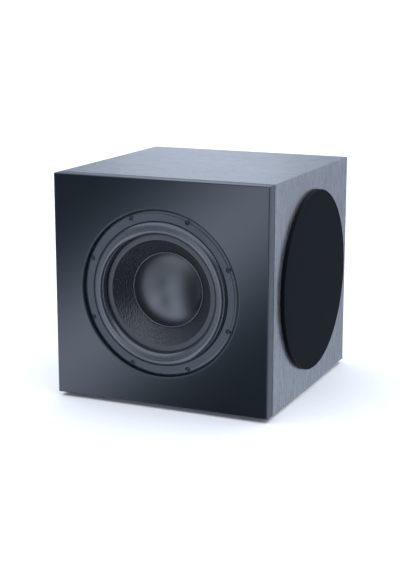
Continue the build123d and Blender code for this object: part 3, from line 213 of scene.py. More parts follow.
class FinishColours(bpy.types.PropertyGroup):
    """Colours of the finishes that show most."""

    lacquer: bpy.props.FloatVectorProperty(
        name="Lacquer", description="Gloss lacquer of the front",
        subtype="COLOR", size=3, default=(0.008, 0.0105, 0.0145),
    )
    foil: bpy.props.FloatVectorProperty(
        name="Foil", description="Brushed foil of the cabinet",
        subtype="COLOR", size=3, default=(0.350, 0.350, 0.362),
    )
    rubber: bpy.props.FloatVectorProperty(
        name="Rubber", description="Rubber of the surrounds",
        subtype="COLOR", size=3, default=(0.0120, 0.0150, 0.0200),
    )
    pulp: bpy.props.FloatVectorProperty(
        name="Pulp", description="Pressed pulp of the cones",
        subtype="COLOR", size=3, default=(0.0016, 0.0022, 0.0032),
    )
    cloth: bpy.props.FloatVectorProperty(
        name="Cloth", description="Cloth of the side grilles",
        subtype="COLOR", size=3, default=(0.0012, 0.0032, 0.0058),
    )


class StageSizes(bpy.types.PropertyGroup):
    """Camera and light of the stage."""

    yaw: bpy.props.FloatProperty(
        name="Yaw", description="Camera's turn to the right of the front",
        default=radians(23.87), subtype="ANGLE",
    )
    pitch: bpy.props.FloatProperty(
        name="Pitch", description="How far the camera looks down",
        default=radians(12.93), subtype="ANGLE",
    )
    lens: bpy.props.FloatProperty(
        name="Lens", description="Focal length on a 36 mm frame, in millimetres",
        default=83.74,
    )
    camera_x: bpy.props.FloatProperty(
        name="Camera right", description="Camera's distance to the right of the front's middle",
        default=1.0025, unit="LENGTH",
    )
    camera_y: bpy.props.FloatProperty(
        name="Camera ahead", description="Camera's distance in front of the fascia",
        default=2.0822, unit="LENGTH",
    )
    camera_z: bpy.props.FloatProperty(
        name="Camera height", description="Camera's height above the cabinet's lower edge",
        default=0.7553, unit="LENGTH",
    )


# ---------------------------------------------------------------- mesh helpers


def arc(middle_depth, middle_radius, radius, start, sweep, steps):
    """Points of an arc in a half plane, as (depth, radius) pairs."""
    return [
        (
            middle_depth + radius * cos(start + sweep * n / steps),
            middle_radius + radius * sin(start + sweep * n / steps),
        )
        for n in range(steps + 1)
    ]


def finish_mesh(mesh, sharp=35):
    """Merge, turn the faces outwards, shade smooth and keep the corners crisp."""
    bm = bmesh.new()
    bm.from_mesh(mesh)
    bmesh.ops.remove_doubles(bm, verts=bm.verts, dist=MERGE_DISTANCE)
    bmesh.ops.recalc_face_normals(bm, faces=bm.faces)
    for face in bm.faces:
        face.smooth = True
    bm.to_mesh(mesh)
    bm.free()
    mesh.set_sharp_from_angle(angle=radians(sharp))
    mesh.update()


def add_object(name, mesh, material):
    """A new piece with one material, linked to the scene."""
    piece = bpy.data.objects.new(name, mesh)
    bpy.context.scene.collection.objects.link(piece)
    if material is not None:
        mesh.materials.append(material)
    return piece


def closed_ring(turns, count):
    """Faces of a closed run of points that is turned right round, in quads."""
    faces = []
    for turn in range(turns):
        here = turn * count
        there = ((turn + 1) % turns) * count
        for n in range(count):
            m = (n + 1) % count
            faces.append((here + n, here + m, there + m, there + n))
    return faces


def turned(name, section, profile, material, steps=SIDE_TURNS, sharp=35):
    """A closed profile of (depth, radius) turned once round a section's axis."""
    verts = [
        section.point(depth, radius, 2 * pi * turn / steps)
        for turn in range(steps)
        for depth, radius in profile
    ]
    mesh = bpy.data.meshes.new(name)
    mesh.from_pydata(verts, [], closed_ring(steps, len(profile)))
    finish_mesh(mesh, sharp)
    return add_object(name, mesh, material)


def placed(piece, body, slot, *replaced):
    """Ride a piece on a body and hide the CAD nodes that it stands for; the slot is not used."""
    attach(piece, body)
    if replaced:
        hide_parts(*replaced)
    return piece


def blend_by_radius(piece, body, section, fixed_radius, moving_radius):
    """Bend a ring between the cabinet and a moving body, from one radius to another.

    The share is cubed, so that the inner half of a roll lags behind its cone and stays clear of the
    grille's cloth.
    """
    piece.parent = None
    near = section.point(0, fixed_radius, 0)
    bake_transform(piece, "cabinet", body, start=near, end=section.point(0, moving_radius, 0))
    weights = piece.data.attributes["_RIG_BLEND"]
    for vertex, weight in zip(piece.data.vertices, weights.data):
        share = (fixed_radius - section.radius_of(vertex.co)) / (fixed_radius - moving_radius)
        share = min(1.0, max(0.0, share))
        weight.value = share**3


def mark_shaded_lip(piece, section, sizes):
    """Mark the glued inner lip of a surround, which is rougher than its roll and is painted darker, as
    painted shade in the valley between roll and cone.
    """
    lip_share = 0.94
    edge = sizes.roll_middle - sizes.roll_radius * lip_share
    marks = piece.data.attributes.new("inner_lip", "FLOAT", "POINT")
    for vertex, mark in zip(piece.data.vertices, marks.data):
        mark.value = 1.0 if section.radius_of(vertex.co) < edge else 0.0


def bake_nodes(piece):
    """Turn a Geometry Nodes result into a plain mesh and drop the modifier."""
    graph = bpy.context.evaluated_depsgraph_get()
    mesh = bpy.data.meshes.new_from_object(piece.evaluated_get(graph))
    piece.modifiers.clear()
    piece.data = mesh
    return piece


# ---------------------------------------------------------------- material helpers


class Finish:
    """A material in the making: object coordinates feed textures, which feed one shader."""

    def __init__(self, name, roughness=0.5, metallic=0.0, specular=0.5, coat=0.0, coat_roughness=0.1):
        self.material = bpy.data.materials.new(name)
        self.material.use_nodes = True
        self.tree = self.material.node_tree
        self.shader = self.tree.nodes["Principled BSDF"]
        self.shader.inputs["Roughness"].default_value = roughness
        self.shader.inputs["Metallic"].default_value = metallic
        self.shader.inputs["Specular IOR Level"].default_value = specular
        self.shader.inputs["Coat Weight"].default_value = coat
        self.shader.inputs["Coat Roughness"].default_value = coat_roughness
        self.coordinates = self.tree.nodes.new("ShaderNodeTexCoord")

    def link(self, source, target):
        """Join an output to an input."""
        self.tree.links.new(source, target)

    def mapped(self, scale=(1, 1, 1), turn=(0, 0, 0), shift=(0, 0, 0)):
        """Object coordinates, stretched, turned and moved."""
        mapping = self.tree.nodes.new("ShaderNodeMapping")
        mapping.inputs["Scale"].default_value = scale
        mapping.inputs["Rotation"].default_value = turn
        mapping.inputs["Location"].default_value = shift
        self.link(self.coordinates.outputs["Object"], mapping.inputs["Vector"])
        return mapping.outputs["Vector"]

    def noise(self, scale, detail=4.0, rough=0.5, vector=None):
        """A noise texture's value."""
        made = self.tree.nodes.new("ShaderNodeTexNoise")
        made.inputs["Scale"].default_value = scale
        made.inputs["Detail"].default_value = detail
        made.inputs["Roughness"].default_value = rough
        self.link(vector or self.coordinates.outputs["Object"], made.inputs["Vector"])
        return made.outputs["Fac"]

    def cells(self, scale, vector=None, feature="F1"):
        """A Voronoi texture's distance."""
        made = self.tree.nodes.new("ShaderNodeTexVoronoi")
        made.feature = feature
        made.inputs["Scale"].default_value = scale
        self.link(vector or self.coordinates.outputs["Object"], made.inputs["Vector"])
        return made.outputs["Distance"]

    def wave(self, pitch, direction):
        """Bands along one axis, a pitch apart."""
        made = self.tree.nodes.new("ShaderNodeTexWave")
        made.wave_type = "BANDS"
        made.bands_direction = direction
        made.inputs["Scale"].default_value = 1 / pitch / WAVE_BANDS
        self.link(self.coordinates.outputs["Object"], made.inputs["Vector"])
        return made.outputs["Fac"]

    def sum(self, first, second, operation="ADD"):
        """Two values joined by a sum or another operation."""
        made = self.tree.nodes.new("ShaderNodeMath")
        made.operation = operation
        for value, socket in ((first, made.inputs[0]), (second, made.inputs[1])):
            if isinstance(value, (int, float)):
                socket.default_value = value
            else:
                self.link(value, socket)
        return made.outputs[0]

    def spread(self, value, low_in, high_in, low_out, high_out):
        """A value moved from one range to another."""
        made = self.tree.nodes.new("ShaderNodeMapRange")
        for socket, number in zip(made.inputs[1:5], (low_in, high_in, low_out, high_out)):
            socket.default_value = number
        self.link(value, made.inputs[0])
        return made.outputs[0]

    def colour(self, value, dark, light, low_at=0.3, high_at=0.7):
        """Base colour between two shades."""
        ramp = self.tree.nodes.new("ShaderNodeValToRGB")
        ramp.color_ramp.elements[0].position = low_at
        ramp.color_ramp.elements[1].position = high_at
        ramp.color_ramp.elements[0].color = (*dark, 1)
        ramp.color_ramp.elements[1].color = (*light, 1)
        self.link(value, ramp.inputs["Fac"])
        self.link(ramp.outputs["Color"], self.shader.inputs["Base Color"])

    def roughness(self, value, low_out, high_out, low_in=0.3, high_in=0.7):
        """Roughness that varies over the surface."""
        self.link(self.spread(value, low_in, high_in, low_out, high_out), self.shader.inputs["Roughness"])

    def bump(self, value, height, strength=1.0):
        """Fine relief, its height in metres."""
        made = self.tree.nodes.new("ShaderNodeBump")
        made.inputs["Strength"].default_value = strength
        made.inputs["Distance"].default_value = height
        self.link(value, made.inputs["Height"])
        self.link(made.outputs["Normal"], self.shader.inputs["Normal"])


def shade(colour, factor):
    """A lighter or darker version of a colour."""
    return tuple(min(1.0, part * factor) for part in colour)


FINISHES = {}


def finish(name, maker):
    """Make a material once, and hand out the same one after that."""
    if name not in FINISHES:
        FINISHES[name] = maker()
    return FINISHES[name]


def gloss_lacquer():
    """Deep gloss lacquer with the faint waviness of a polished panel."""
    colours = bpy.context.scene.subwoofer_colours
    made = Finish("gloss_lacquer", roughness=0.3, specular=0.0, coat=1.0, coat_roughness=0.035)
    cloud = made.noise(6, 2)
    made.colour(cloud, shade(colours.lacquer, 0.92), shade(colours.lacquer, 1.08))
    made.roughness(made.noise(40, 5), 0.28, 0.34)
    return made.material


def satin_board():
    """Satin paint over fibreboard, with a fine stipple."""
    made = Finish("satin_board", roughness=0.45, specular=0.4)
    made.colour(made.noise(55, 4), (0.062, 0.068, 0.080), (0.078, 0.085, 0.098))
    stipple = made.noise(2600, 3)
    made.bump(stipple, 0.00003)
    made.roughness(made.noise(300, 4), 0.40, 0.5)
    return made.material


def brushed_foil(name, along):
    """Brushed metallic foil: fine streaks along one axis, with slow changes of tone."""
    colours = bpy.context.scene.subwoofer_colours
    made = Finish(name, roughness=0.32, metallic=0.85, specular=0.5)
    streak = {"X": (34, 760, 760), "Z": (760, 760, 34)}[along]
    hair = {"X": (90, 1500, 1500), "Z": (1500, 1500, 90)}[along]
    patch = {"X": (3, 7, 7), "Z": (7, 7, 3)}[along]
    fine = made.noise(1, 3, 0.6, made.mapped(streak))
    finest = made.noise(1, 4, 0.7, made.mapped(hair))
    broad = made.noise(1, 4, 0.6, made.mapped(patch))
    both = made.sum(made.sum(fine, 0.5, "MULTIPLY"), made.sum(finest, 0.4, "MULTIPLY"))
    both = made.sum(both, made.sum(broad, 0.1, "MULTIPLY"))
    made.colour(both, shade(colours.foil, 0.66), shade(colours.foil, 1.42), 0.40, 0.60)
    made.roughness(fine, 0.24, 0.36)
    made.bump(finest, 0.00002, 0.6)
    return made.material


def bare_board():
    """Raw fibreboard: soft tan with fibres."""
    made = Finish("bare_board", roughness=0.85, specular=0.2)
    fibre = made.noise(420, 8, 0.7)
    made.colour(fibre, (0.30, 0.21, 0.12), (0.47, 0.35, 0.21))
    made.bump(fibre, 0.00006)
    return made.material


def moulded(name, tone, roughness, grain, height, metallic=0.0, specular=0.5):
    """A moulded or coated surface with a fine grain in colour, gloss and relief."""
    made = Finish(name, roughness=roughness, metallic=metallic, specular=specular)
    fine = made.noise(grain, 4, 0.6)
    slow = made.noise(30, 3)
    made.colour(slow, shade(tone, 0.86), shade(tone, 1.16))
    made.roughness(fine, max(0.05, roughness - 0.05), roughness + 0.06)
    made.bump(fine, height)
    return made.material


def surround_rubber():
    """Satin rubber: very fine skin, faint bloom, and an inner lip painted dark as painted shade in the valley
    between roll and cone.
    """
    colours = bpy.context.scene.subwoofer_colours
    made = Finish("surround_rubber", roughness=0.22, specular=0.9)
    bloom_and_lip_shade = made.noise(24, 2, 0.5)
    lip_shade = made.tree.nodes.new("ShaderNodeAttribute")
    lip_shade.attribute_name = "inner_lip"
    # The marked inner lip is painted far darker than the roll: painted shade where the lip sits in the valley
    # between roll and cone.
    bloom_and_lip_shade = made.sum(bloom_and_lip_shade, lip_shade.outputs["Fac"], "SUBTRACT")
    made.colour(bloom_and_lip_shade, shade(colours.rubber, 0.25), shade(colours.rubber, 1.1), 0.0, 0.55)
    skin = made.noise(3200, 3)
    made.roughness(lip_shade.outputs["Fac"], 0.22, 0.48, 0.0, 1.0)
    made.bump(skin, 0.000012)
    return made.material


def pulp_cone():
    """Pressed pulp: tangled fibres that catch the light."""
    colours = bpy.context.scene.subwoofer_colours
    made = Finish("pulp_cone", roughness=0.34, specular=0.75)
    threads = []
    for n, turn in enumerate((0.0, 0.7, 1.4, 2.2)):
        vector = made.mapped((420, 120, 90), (turn, 0.3 * n, turn), (n * 3.1, n, 0))
        threads.append(made.cells(1.0, vector))
    first = made.sum(threads[0], threads[1], "MINIMUM")
    second = made.sum(threads[2], threads[3], "MINIMUM")
    tangle = made.sum(first, second, "MINIMUM")
    lump = made.noise(230, 6, 0.7)
    relief = made.sum(made.sum(tangle, 1.2, "MULTIPLY"), lump)
    made.colour(relief, shade(colours.pulp, 0.4), shade(colours.pulp, 2.6), 0.6, 1.15)
    made.roughness(lump, 0.26, 0.44)
    made.bump(relief, 0.0008, 1.0)
    return made.material


def satin_cap():
    """Smooth coated cap with a soft sheen."""
    made = Finish("satin_cap", roughness=0.35, specular=1.0, coat=0.2, coat_roughness=0.34)
    made.colour(made.noise(18, 4), (0.0018, 0.0024, 0.0034), (0.0026, 0.0034, 0.0046))
    made.roughness(made.noise(500, 4), 0.33, 0.37)
    made.bump(made.noise(2400, 3), 0.000012)
    return made.material


def woven(name, tone, pitch, roughness, plane="YZ", height=0.00015):
    """Plain weave: two sets of threads over and under each other."""
    made = Finish(name, roughness=roughness, specular=0.12)
    first, second = (("Y", "Z") if plane == "YZ" else ("X", "Z"))
    warp = made.wave(pitch, first)
    weft = made.wave(pitch, second)
    cross = made.sum(warp, weft, "MULTIPLY")
    slub = made.noise(1 / pitch / 6, 3)
    relief = made.sum(cross, made.sum(slub, 0.5, "MULTIPLY"))
    made.colour(relief, shade(tone, 0.5), shade(tone, 1.7), 0.15, 1.1)
    made.bump(relief, height)
    return made.material


def wound_wire(name, tone, section_axis, pitch, metallic=0.9):
    """Turns of wire or film side by side along one axis."""
    made = Finish(name, roughness=0.35, metallic=metallic)
    turns = made.wave(pitch, section_axis)
    made.colour(turns, shade(tone, 0.45), tone, 0.1, 0.8)
    made.bump(turns, pitch * 0.3)
    return made.material


def turned_steel(name, tone, roughness):
    """Machined and plated steel with fine turning marks."""
    made = Finish(name, roughness=roughness, metallic=1.0)
    marks = made.noise(900, 5, 0.6, made.mapped((1, 0.05, 1)))
    made.colour(marks, shade(tone, 0.8), shade(tone, 1.1))
    made.roughness(marks, roughness - 0.08, roughness + 0.1)
    made.bump(marks, 0.00001)
    return made.material


def circuit_laminate():
    """Green laminate with faint copper tracks under the mask."""
    made = Finish("circuit_laminate", roughness=0.4, specular=0.5)
    tracks = made.cells(70, feature="DISTANCE_TO_EDGE")
    made.colour(tracks, (0.02, 0.17, 0.07), (0.008, 0.075, 0.03), 0.02, 0.06)
    made.bump(tracks, 0.00005)
    return made.material


def wadding_fibre():
    """Loose polyester fibres."""
    made = Finish("wadding_fibre", roughness=0.95, specular=0.1)
    made.shader.inputs["Sheen Weight"].default_value = 0.4
    tuft = made.noise(240, 9, 0.75)
    made.colour(tuft, (0.62, 0.61, 0.58), (0.90, 0.89, 0.86))
    made.bump(tuft, 0.0012)
    return made.material


def lamp_lens():
    """Diffused green lens."""
    made = Finish("lamp_lens", roughness=0.3)
    made.colour(made.noise(900, 2), (0.03, 0.30, 0.10), (0.05, 0.42, 0.15))
    made.shader.inputs["Emission Color"].default_value = (0.1, 1.0, 0.35, 1)
    made.shader.inputs["Emission Strength"].default_value = 0.4
    return made.material


# Tone, roughness, fineness of the grain and its height in metres, metallic, specular.
MOULDED = {
    "black_rubber": ((0.018, 0.018, 0.020), 0.6, 900, 0.00006),
    "gasket_rubber": ((0.017, 0.021, 0.028), 0.38, 1800, 0.00002, 0.0, 0.7),
    "black_steel": ((0.035, 0.037, 0.042), 0.34, 1500, 0.00001, 0.8),
    "cast_frame": ((0.022, 0.027, 0.035), 0.34, 1700, 0.00002, 0.0, 0.8),
    "ferrite": ((0.030, 0.031, 0.034), 0.55, 700, 0.00008),
    "black_plastic": ((0.016, 0.017, 0.019), 0.45, 1500, 0.00004),
    "painted_plate": ((0.018, 0.019, 0.021), 0.52, 1100, 0.00012),
    "black_aluminium": ((0.022, 0.023, 0.026), 0.36, 1600, 0.00002, 0.7),
    "knob_plastic": ((0.020, 0.021, 0.023), 0.38, 1900, 0.00002),
    "lead_sheath": ((0.022, 0.022, 0.024), 0.5, 800, 0.00004),
    "grille_plastic": ((0.0015, 0.002, 0.003), 0.5, 1500, 0.00003, 0.0, 0.1),
}
# Tone, the axis that the turns follow, their pitch in metres, metallic.
WOUND = {
    "former_film": ((0.62, 0.50, 0.30), "Y", 0.004, 0.3),
    "copper_wire": ((0.72, 0.34, 0.16), "Y", 0.0006),
    "braided_lead": ((0.70, 0.42, 0.24), "Z", 0.0011),
    "wound_tape": ((0.72, 0.55, 0.08), "X", 0.009, 0.0),
}
# Tone, roughness.
TURNED = {
    "motor_steel": ((0.46, 0.46, 0.47), 0.3),
    "nickel_pins": ((0.80, 0.78, 0.72), 0.2),
    "jack_metal": ((0.85, 0.62, 0.26), 0.22),
}
OWN_FINISHES = {
    "gloss_lacquer": gloss_lacquer,
    "satin_board": satin_board,
    "bare_board": bare_board,
    "roll_rubber": surround_rubber,
    "pulp_cone": pulp_cone,
    "satin_cap": satin_cap,
    "board_laminate": circuit_laminate,
    "lamp_lens": lamp_lens,
    "white_wadding": wadding_fibre,
    "spider_cloth": lambda: woven("spider_cloth", (0.52, 0.36, 0.12), 0.0009, 0.8, "XZ"),
    "grille_cloth": lambda: woven("grille_cloth", bpy.context.scene.subwoofer_colours.cloth, 0.0010, 0.7),
}


def slot_finish(slot):
    """The material of a named slot of the record."""
    for maker, table in ((moulded, MOULDED), (wound_wire, WOUND), (turned_steel, TURNED)):
        if slot in table:
            return finish(slot, lambda: maker(slot, *table[slot]))
    return finish(slot, OWN_FINISHES[slot])


def dress(node, material):
    """Give a CAD node a better material."""
    mesh = NODES[node].data
    mesh.materials.clear()
    mesh.materials.append(material)


# ---------------------------------------------------------------- studio light


def ramp_of(tree, source, stops):
    """A smooth ramp of grey levels over a value that runs from 0 to 1."""
    ramp = tree.nodes.new("ShaderNodeValToRGB")
    ramp.color_ramp.interpolation = "EASE"
    elements = ramp.color_ramp.elements
    elements[0].position, elements[1].position = stops[0][0], stops[-1][0]
    for place, _ in stops[1:-1]:
        elements.new(place)
    for element, (_, level) in zip(elements, stops):
        element.color = (level, level, level, 1)
    tree.links.new(source, ramp.inputs["Fac"])
    return ramp.outputs["Color"]


def by_bearing(stops):
    """Stops by bearing in degrees, as places on a ramp from 0 to 1."""
    return [((bearing + 180) / 360, level) for bearing, level in stops]


def studio_light(scene):
    """Soft light all round: cards by bearing, a tilted strip, a bright ceiling and a plain white backdrop."""
    world = bpy.data.worlds.new("studio")
    scene.world = world
    world.use_nodes = True
    tree = world.node_tree
    links = tree.links

    def maths(operation, first, second=None):
        """A math node's result, from sockets or numbers."""
        made = tree.nodes.new("ShaderNodeMath")
        made.operation = operation
        for value, place in ((first, made.inputs[0]), (second, made.inputs[1])):
            if value is None:
                continue
            if isinstance(value, (int, float)):
                place.default_value = value
            else:
                links.new(value, place)
        return made.outputs[0]

    def full_ramp(source, stops, full):
        """A ramp whose levels may pass 1, up to a full level."""
        lowered = [(place, level / full) for place, level in stops]
        return maths("MULTIPLY", ramp_of(tree, source, lowered), full)

    def toward(direction):
        """How closely the light's direction follows a given one."""
        made = tree.nodes.new("ShaderNodeVectorMath")
        made.operation = "DOT_PRODUCT"
        made.inputs[1].default_value = Vector(direction).normalized()
        links.new(where, made.inputs[0])
        return made.outputs["Value"]

    where = tree.nodes.new("ShaderNodeTexCoord").outputs["Generated"]
    split = tree.nodes.new("ShaderNodeSeparateXYZ")
    links.new(where, split.inputs[0])
    bearing = maths("ARCTAN2", split.outputs["X"], maths("MULTIPLY", split.outputs["Y"], -1.0))
    turn = maths("ADD", maths("MULTIPLY", bearing, 1 / (2 * pi)), 0.5)
    height = maths("MULTIPLY", maths("ARCSINE", split.outputs["Z"]), 2 / pi)
    rise = maths("ADD", maths("MULTIPLY", height, 0.5), 0.5)
    around = full_ramp(turn, by_bearing(CARD_LEVELS), CARD_FULL)
    cards = maths("MULTIPLY", around, full_ramp(rise, CARD_HEIGHTS, HEIGHT_FULL))
    slot_around = ramp_of(tree, turn, by_bearing(SLOT_BEARINGS))
    slot = maths("MULTIPLY", slot_around, ramp_of(tree, rise, SLOT_HEIGHTS))
    open_part = maths("SUBTRACT", 1.0, slot)
    cards = maths("ADD", maths("MULTIPLY", cards, open_part), maths("MULTIPLY", slot, SLOT_LEVEL))
    ceiling = maths("MAXIMUM", full_ramp(height, CEILING_LEVELS, CARD_FULL), cards)
    above = maths("GREATER_THAN", split.outputs["Z"], 0.0)

    strip = toward(STRIP_NORMAL)
    across = maths("DIVIDE", strip, STRIP_WIDTH)
    glow = maths("EXPONENT", maths("MULTIPLY", maths("MULTIPLY", across, across), -1.0))
    reach = maths("POWER", maths("MAXIMUM", toward(STRIP_MIDDLE), 0.0), STRIP_REACH)
    glow = maths("MULTIPLY", maths("MULTIPLY", glow, reach), STRIP_LEVEL)
    below = maths("ADD", cards, glow)
    mix = tree.nodes.new("ShaderNodeMix")
    mix.data_type = "FLOAT"
    links.new(above, mix.inputs[0])
    links.new(below, mix.inputs[2])
    links.new(ceiling, mix.inputs[3])
    background = tree.nodes["Background"]
    tint = tree.nodes.new("ShaderNodeMix")
    tint.data_type = "RGBA"
    tint.inputs[6].default_value = TINT_BELOW
    tint.inputs[7].default_value = TINT_ABOVE
    links.new(above, tint.inputs[0])
    links.new(tint.outputs[2], background.inputs["Color"])
    links.new(mix.outputs[0], background.inputs["Strength"])
    plain = tree.nodes.new("ShaderNodeBackground")
    plain.inputs["Color"].default_value = (1, 1, 1, 1)
    plain.inputs["Strength"].default_value = 1.0
    seen = tree.nodes.new("ShaderNodeMixShader")
    links.new(tree.nodes.new("ShaderNodeLightPath").outputs["Is Camera Ray"], seen.inputs[0])
    links.new(background.outputs[0], seen.inputs[1])
    links.new(plain.outputs[0], seen.inputs[2])
    links.new(seen.outputs[0], tree.nodes["World Output"].inputs["Surface"])


# ---------------------------------------------------------------- operators


class SUBWOOFER_OT_stage(bpy.types.Operator):
    """Camera, floor and soft light"""

    bl_idname = "subwoofer.stage"
    bl_label = "Stage"

    def execute(self, context):
        sizes = context.scene.subwoofer_stage
        camera_data = bpy.data.cameras.new("camera")
        camera = bpy.data.objects.new("camera", camera_data)
        context.scene.collection.objects.link(camera)
        camera_data.lens = sizes.lens
        camera_data.sensor_width = 36
        camera_data.clip_end = 400
        lower_edge = low("front_fascia").z
        camera.location = (sizes.camera_x, FACE_Y - sizes.camera_y, lower_edge + sizes.camera_z)
        camera.rotation_euler = (pi / 2 - sizes.pitch, 0, sizes.yaw)
        context.scene.camera = camera

        floor_mesh = bpy.data.meshes.new("floor")
        reach = 90.0
        corners = ((-reach, -reach), (reach, -reach), (reach, reach), (-reach, reach))
        floor_mesh.from_pydata([(x, y, FLOOR_Z) for x, y in corners], [], [(0, 1, 2, 3)])
        paint = Finish("floor_paint", roughness=0.9, specular=0.1)
        paint.colour(paint.noise(3, 2), (0.96, 0.895, 0.835), (0.98, 0.915, 0.855))
        floor = add_object("floor", floor_mesh, paint.material)
        floor.visible_glossy = False
        context.scene.view_settings.view_transform = "Standard"
        studio_light(context.scene)
        self.softbox(context, Vector((-0.43, 0.95, 0.60)), Vector((0.05, -0.15, 0.423)))
        return {"FINISHED"}

    def softbox(self, context, place, target):
        """A weak soft light behind the cabinet, aimed at its top."""
        data = bpy.data.lights.new("back_softbox", "AREA")
        data.shape = "RECTANGLE"
        data.size = 0.45
        data.size_y = 0.20
        data.energy = 0.04
        data.color = (0.86, 0.93, 1.0)
        lamp = bpy.data.objects.new("back_softbox", data)
        lamp.location = place
        lamp.visible_camera = False
        lamp.rotation_euler = (target - place).to_track_quat("-Z", "Y").to_euler()
        context.scene.collection.objects.link(lamp)


def rectangle_reach(angle, half_wide, half_tall):
    """Distance from a rectangle's centre to its edge, at an angle from straight up."""
    across = abs(sin(angle)) / half_wide
    upward = abs(cos(angle)) / half_tall
    return 1 / max(across, upward)


class SUBWOOFER_OT_fascia(bpy.types.Operator):
    """Gloss front with its round opening"""

    bl_idname = "subwoofer.fascia"
    bl_label = "Fascia"

    hole: bpy.props.FloatProperty(
        name="Hole", description="Radius of the opening", default=153.0 * MM, unit="LENGTH"
    )
    rounding: bpy.props.FloatProperty(
        name="Rounding", description="Rounding of the opening's edge", default=3.2 * MM, unit="LENGTH"
    )
    arris: bpy.props.FloatProperty(
        name="Arris", description="Rounding of the outer edge", default=1.2 * MM, unit="LENGTH"
    )

    def execute(self, context):
        thick = high("front_fascia").y - FACE_Y
        flat = 0.5 * MM
        rounding_steps = 6
        arris_steps = 4
        half_wide = high("front_fascia").x
        half_tall = high("front_fascia").z - DRIVER_Z
        corner = atan2(half_wide, half_tall)
        steps = 64
        angles = []
        stops = [-corner, corner, pi - corner, pi + corner, 2 * pi - corner]
        for start, end in zip(stops, stops[1:]):
            angles += [start + (end - start) * n / steps for n in range(steps)]
        verts = []
        for angle in angles:
            edge_middle = self.hole + self.rounding
            ring = [(thick, self.hole)]
            ring += arc(self.rounding, edge_middle, self.rounding, -pi / 2, -pi / 2, rounding_steps)
            ring.append((0.0, edge_middle + flat))
            inset = self.arris + flat
            ring.append((0.0, rectangle_reach(angle, half_wide - inset, half_tall - inset)))
            for n in range(arris_steps + 1):
                turn = pi / 2 * n / arris_steps
                inset = self.arris * (1 - sin(turn))
                depth = self.arris * (1 - cos(turn))
                ring.append((depth, rectangle_reach(angle, half_wide - inset, half_tall - inset)))
            ring.append((thick, rectangle_reach(angle, half_wide, half_tall)))
            verts += [DRIVER.point(depth, radius, angle) for depth, radius in ring]
        mesh = bpy.data.meshes.new("fascia")
        mesh.from_pydata(verts, [], closed_ring(len(angles), len(verts) // len(angles)))
        finish_mesh(mesh, 40)
        piece = add_object("fascia", mesh, slot_finish("gloss_lacquer"))
        placed(piece, "cabinet", "gloss_lacquer", "front_fascia")
        return {"FINISHED"}


class SUBWOOFER_OT_cabinet(bpy.types.Operator):
    """Brushed panels, boards, brace and feet"""

    bl_idname = "subwoofer.cabinet"
    bl_label = "Cabinet"

    def execute(self, context):
        across = finish("brushed_across", lambda: brushed_foil("brushed_across", "X"))
        upright = finish("brushed_upright", lambda: brushed_foil("brushed_upright", "Z"))
        for node in ("top_panel", "bottom_panel"):
            dress(node, across)
        for node in ("left_side_panel", "right_side_panel"):
            dress(node, upright)
        for node in ("baffle_board", "rear_panel"):
            dress(node, slot_finish("satin_board"))
        dress("window_brace", slot_finish("bare_board"))
        dress("rubber_feet", slot_finish("black_rubber"))
        return {"FINISHED"}


def roll_profile(sizes, lip_depth, lip_radius):
    """The surround's section, turned into a closed run of points."""
    middle_depth = lip_depth - sizes.roll_radius * cos(sizes.roll_start)
    lip_thick = 0.8 * MM
    lip_start = 0.4 * MM
    fold = 1.0 * MM
    fold_corner = fold * 0.3
    outer, inner = (
        arc(middle_depth, sizes.roll_middle, radius, sizes.roll_start, sizes.roll_sweep, ROLL_STEPS)
        for radius in (sizes.roll_radius, sizes.roll_radius - sizes.roll_thick)
    )
    profile = [
        (lip_depth + lip_thick, inner[0][1] - lip_start),
        (lip_depth + lip_thick, lip_radius),
        (lip_depth, lip_radius),
        (lip_depth, outer[0][1]),
    ]
    profile += outer[1:]
    profile += [
        (middle_depth, sizes.inner_lip + fold),
        (middle_depth + fold_corner, sizes.inner_lip + fold_corner),
        (middle_depth + fold, sizes.inner_lip),
        (middle_depth + fold, inner[-1][1]),
    ]
    profile += inner[::-1][1:]
    return profile


def roll_span(sizes):
    """Radii between which a roll bends, just inside both ends of its arc."""
    margin = 1 * MM
    return (
        sizes.roll_middle + sizes.roll_radius - margin,
        sizes.roll_middle - sizes.roll_radius + margin,
    )


def cone_profile(edge_depth, edge_radius, lip_radius, neck_depth, neck_radius, thick):
    """A straight cone with a flat edge, its front and back walls apart by its thickness."""
    slope = (neck_depth - edge_depth) / (lip_radius - neck_radius)
    shift = thick * sqrt(1 + slope**2)
    steps = 24
    edge_thick = 1.2 * MM
    deeper, narrower = neck_depth - edge_depth, neck_radius - lip_radius
    front = [
        (edge_depth + deeper * n / steps, lip_radius + narrower * n / steps)
        for n in range(steps + 1)
    ]
    return (
        [(edge_depth, edge_radius)]
        + front
        + [
            (neck_depth + shift, neck_radius),
            (edge_depth + edge_thick, lip_radius + (shift - edge_thick) / slope),
            (edge_depth + edge_thick, edge_radius),
        ]
    )


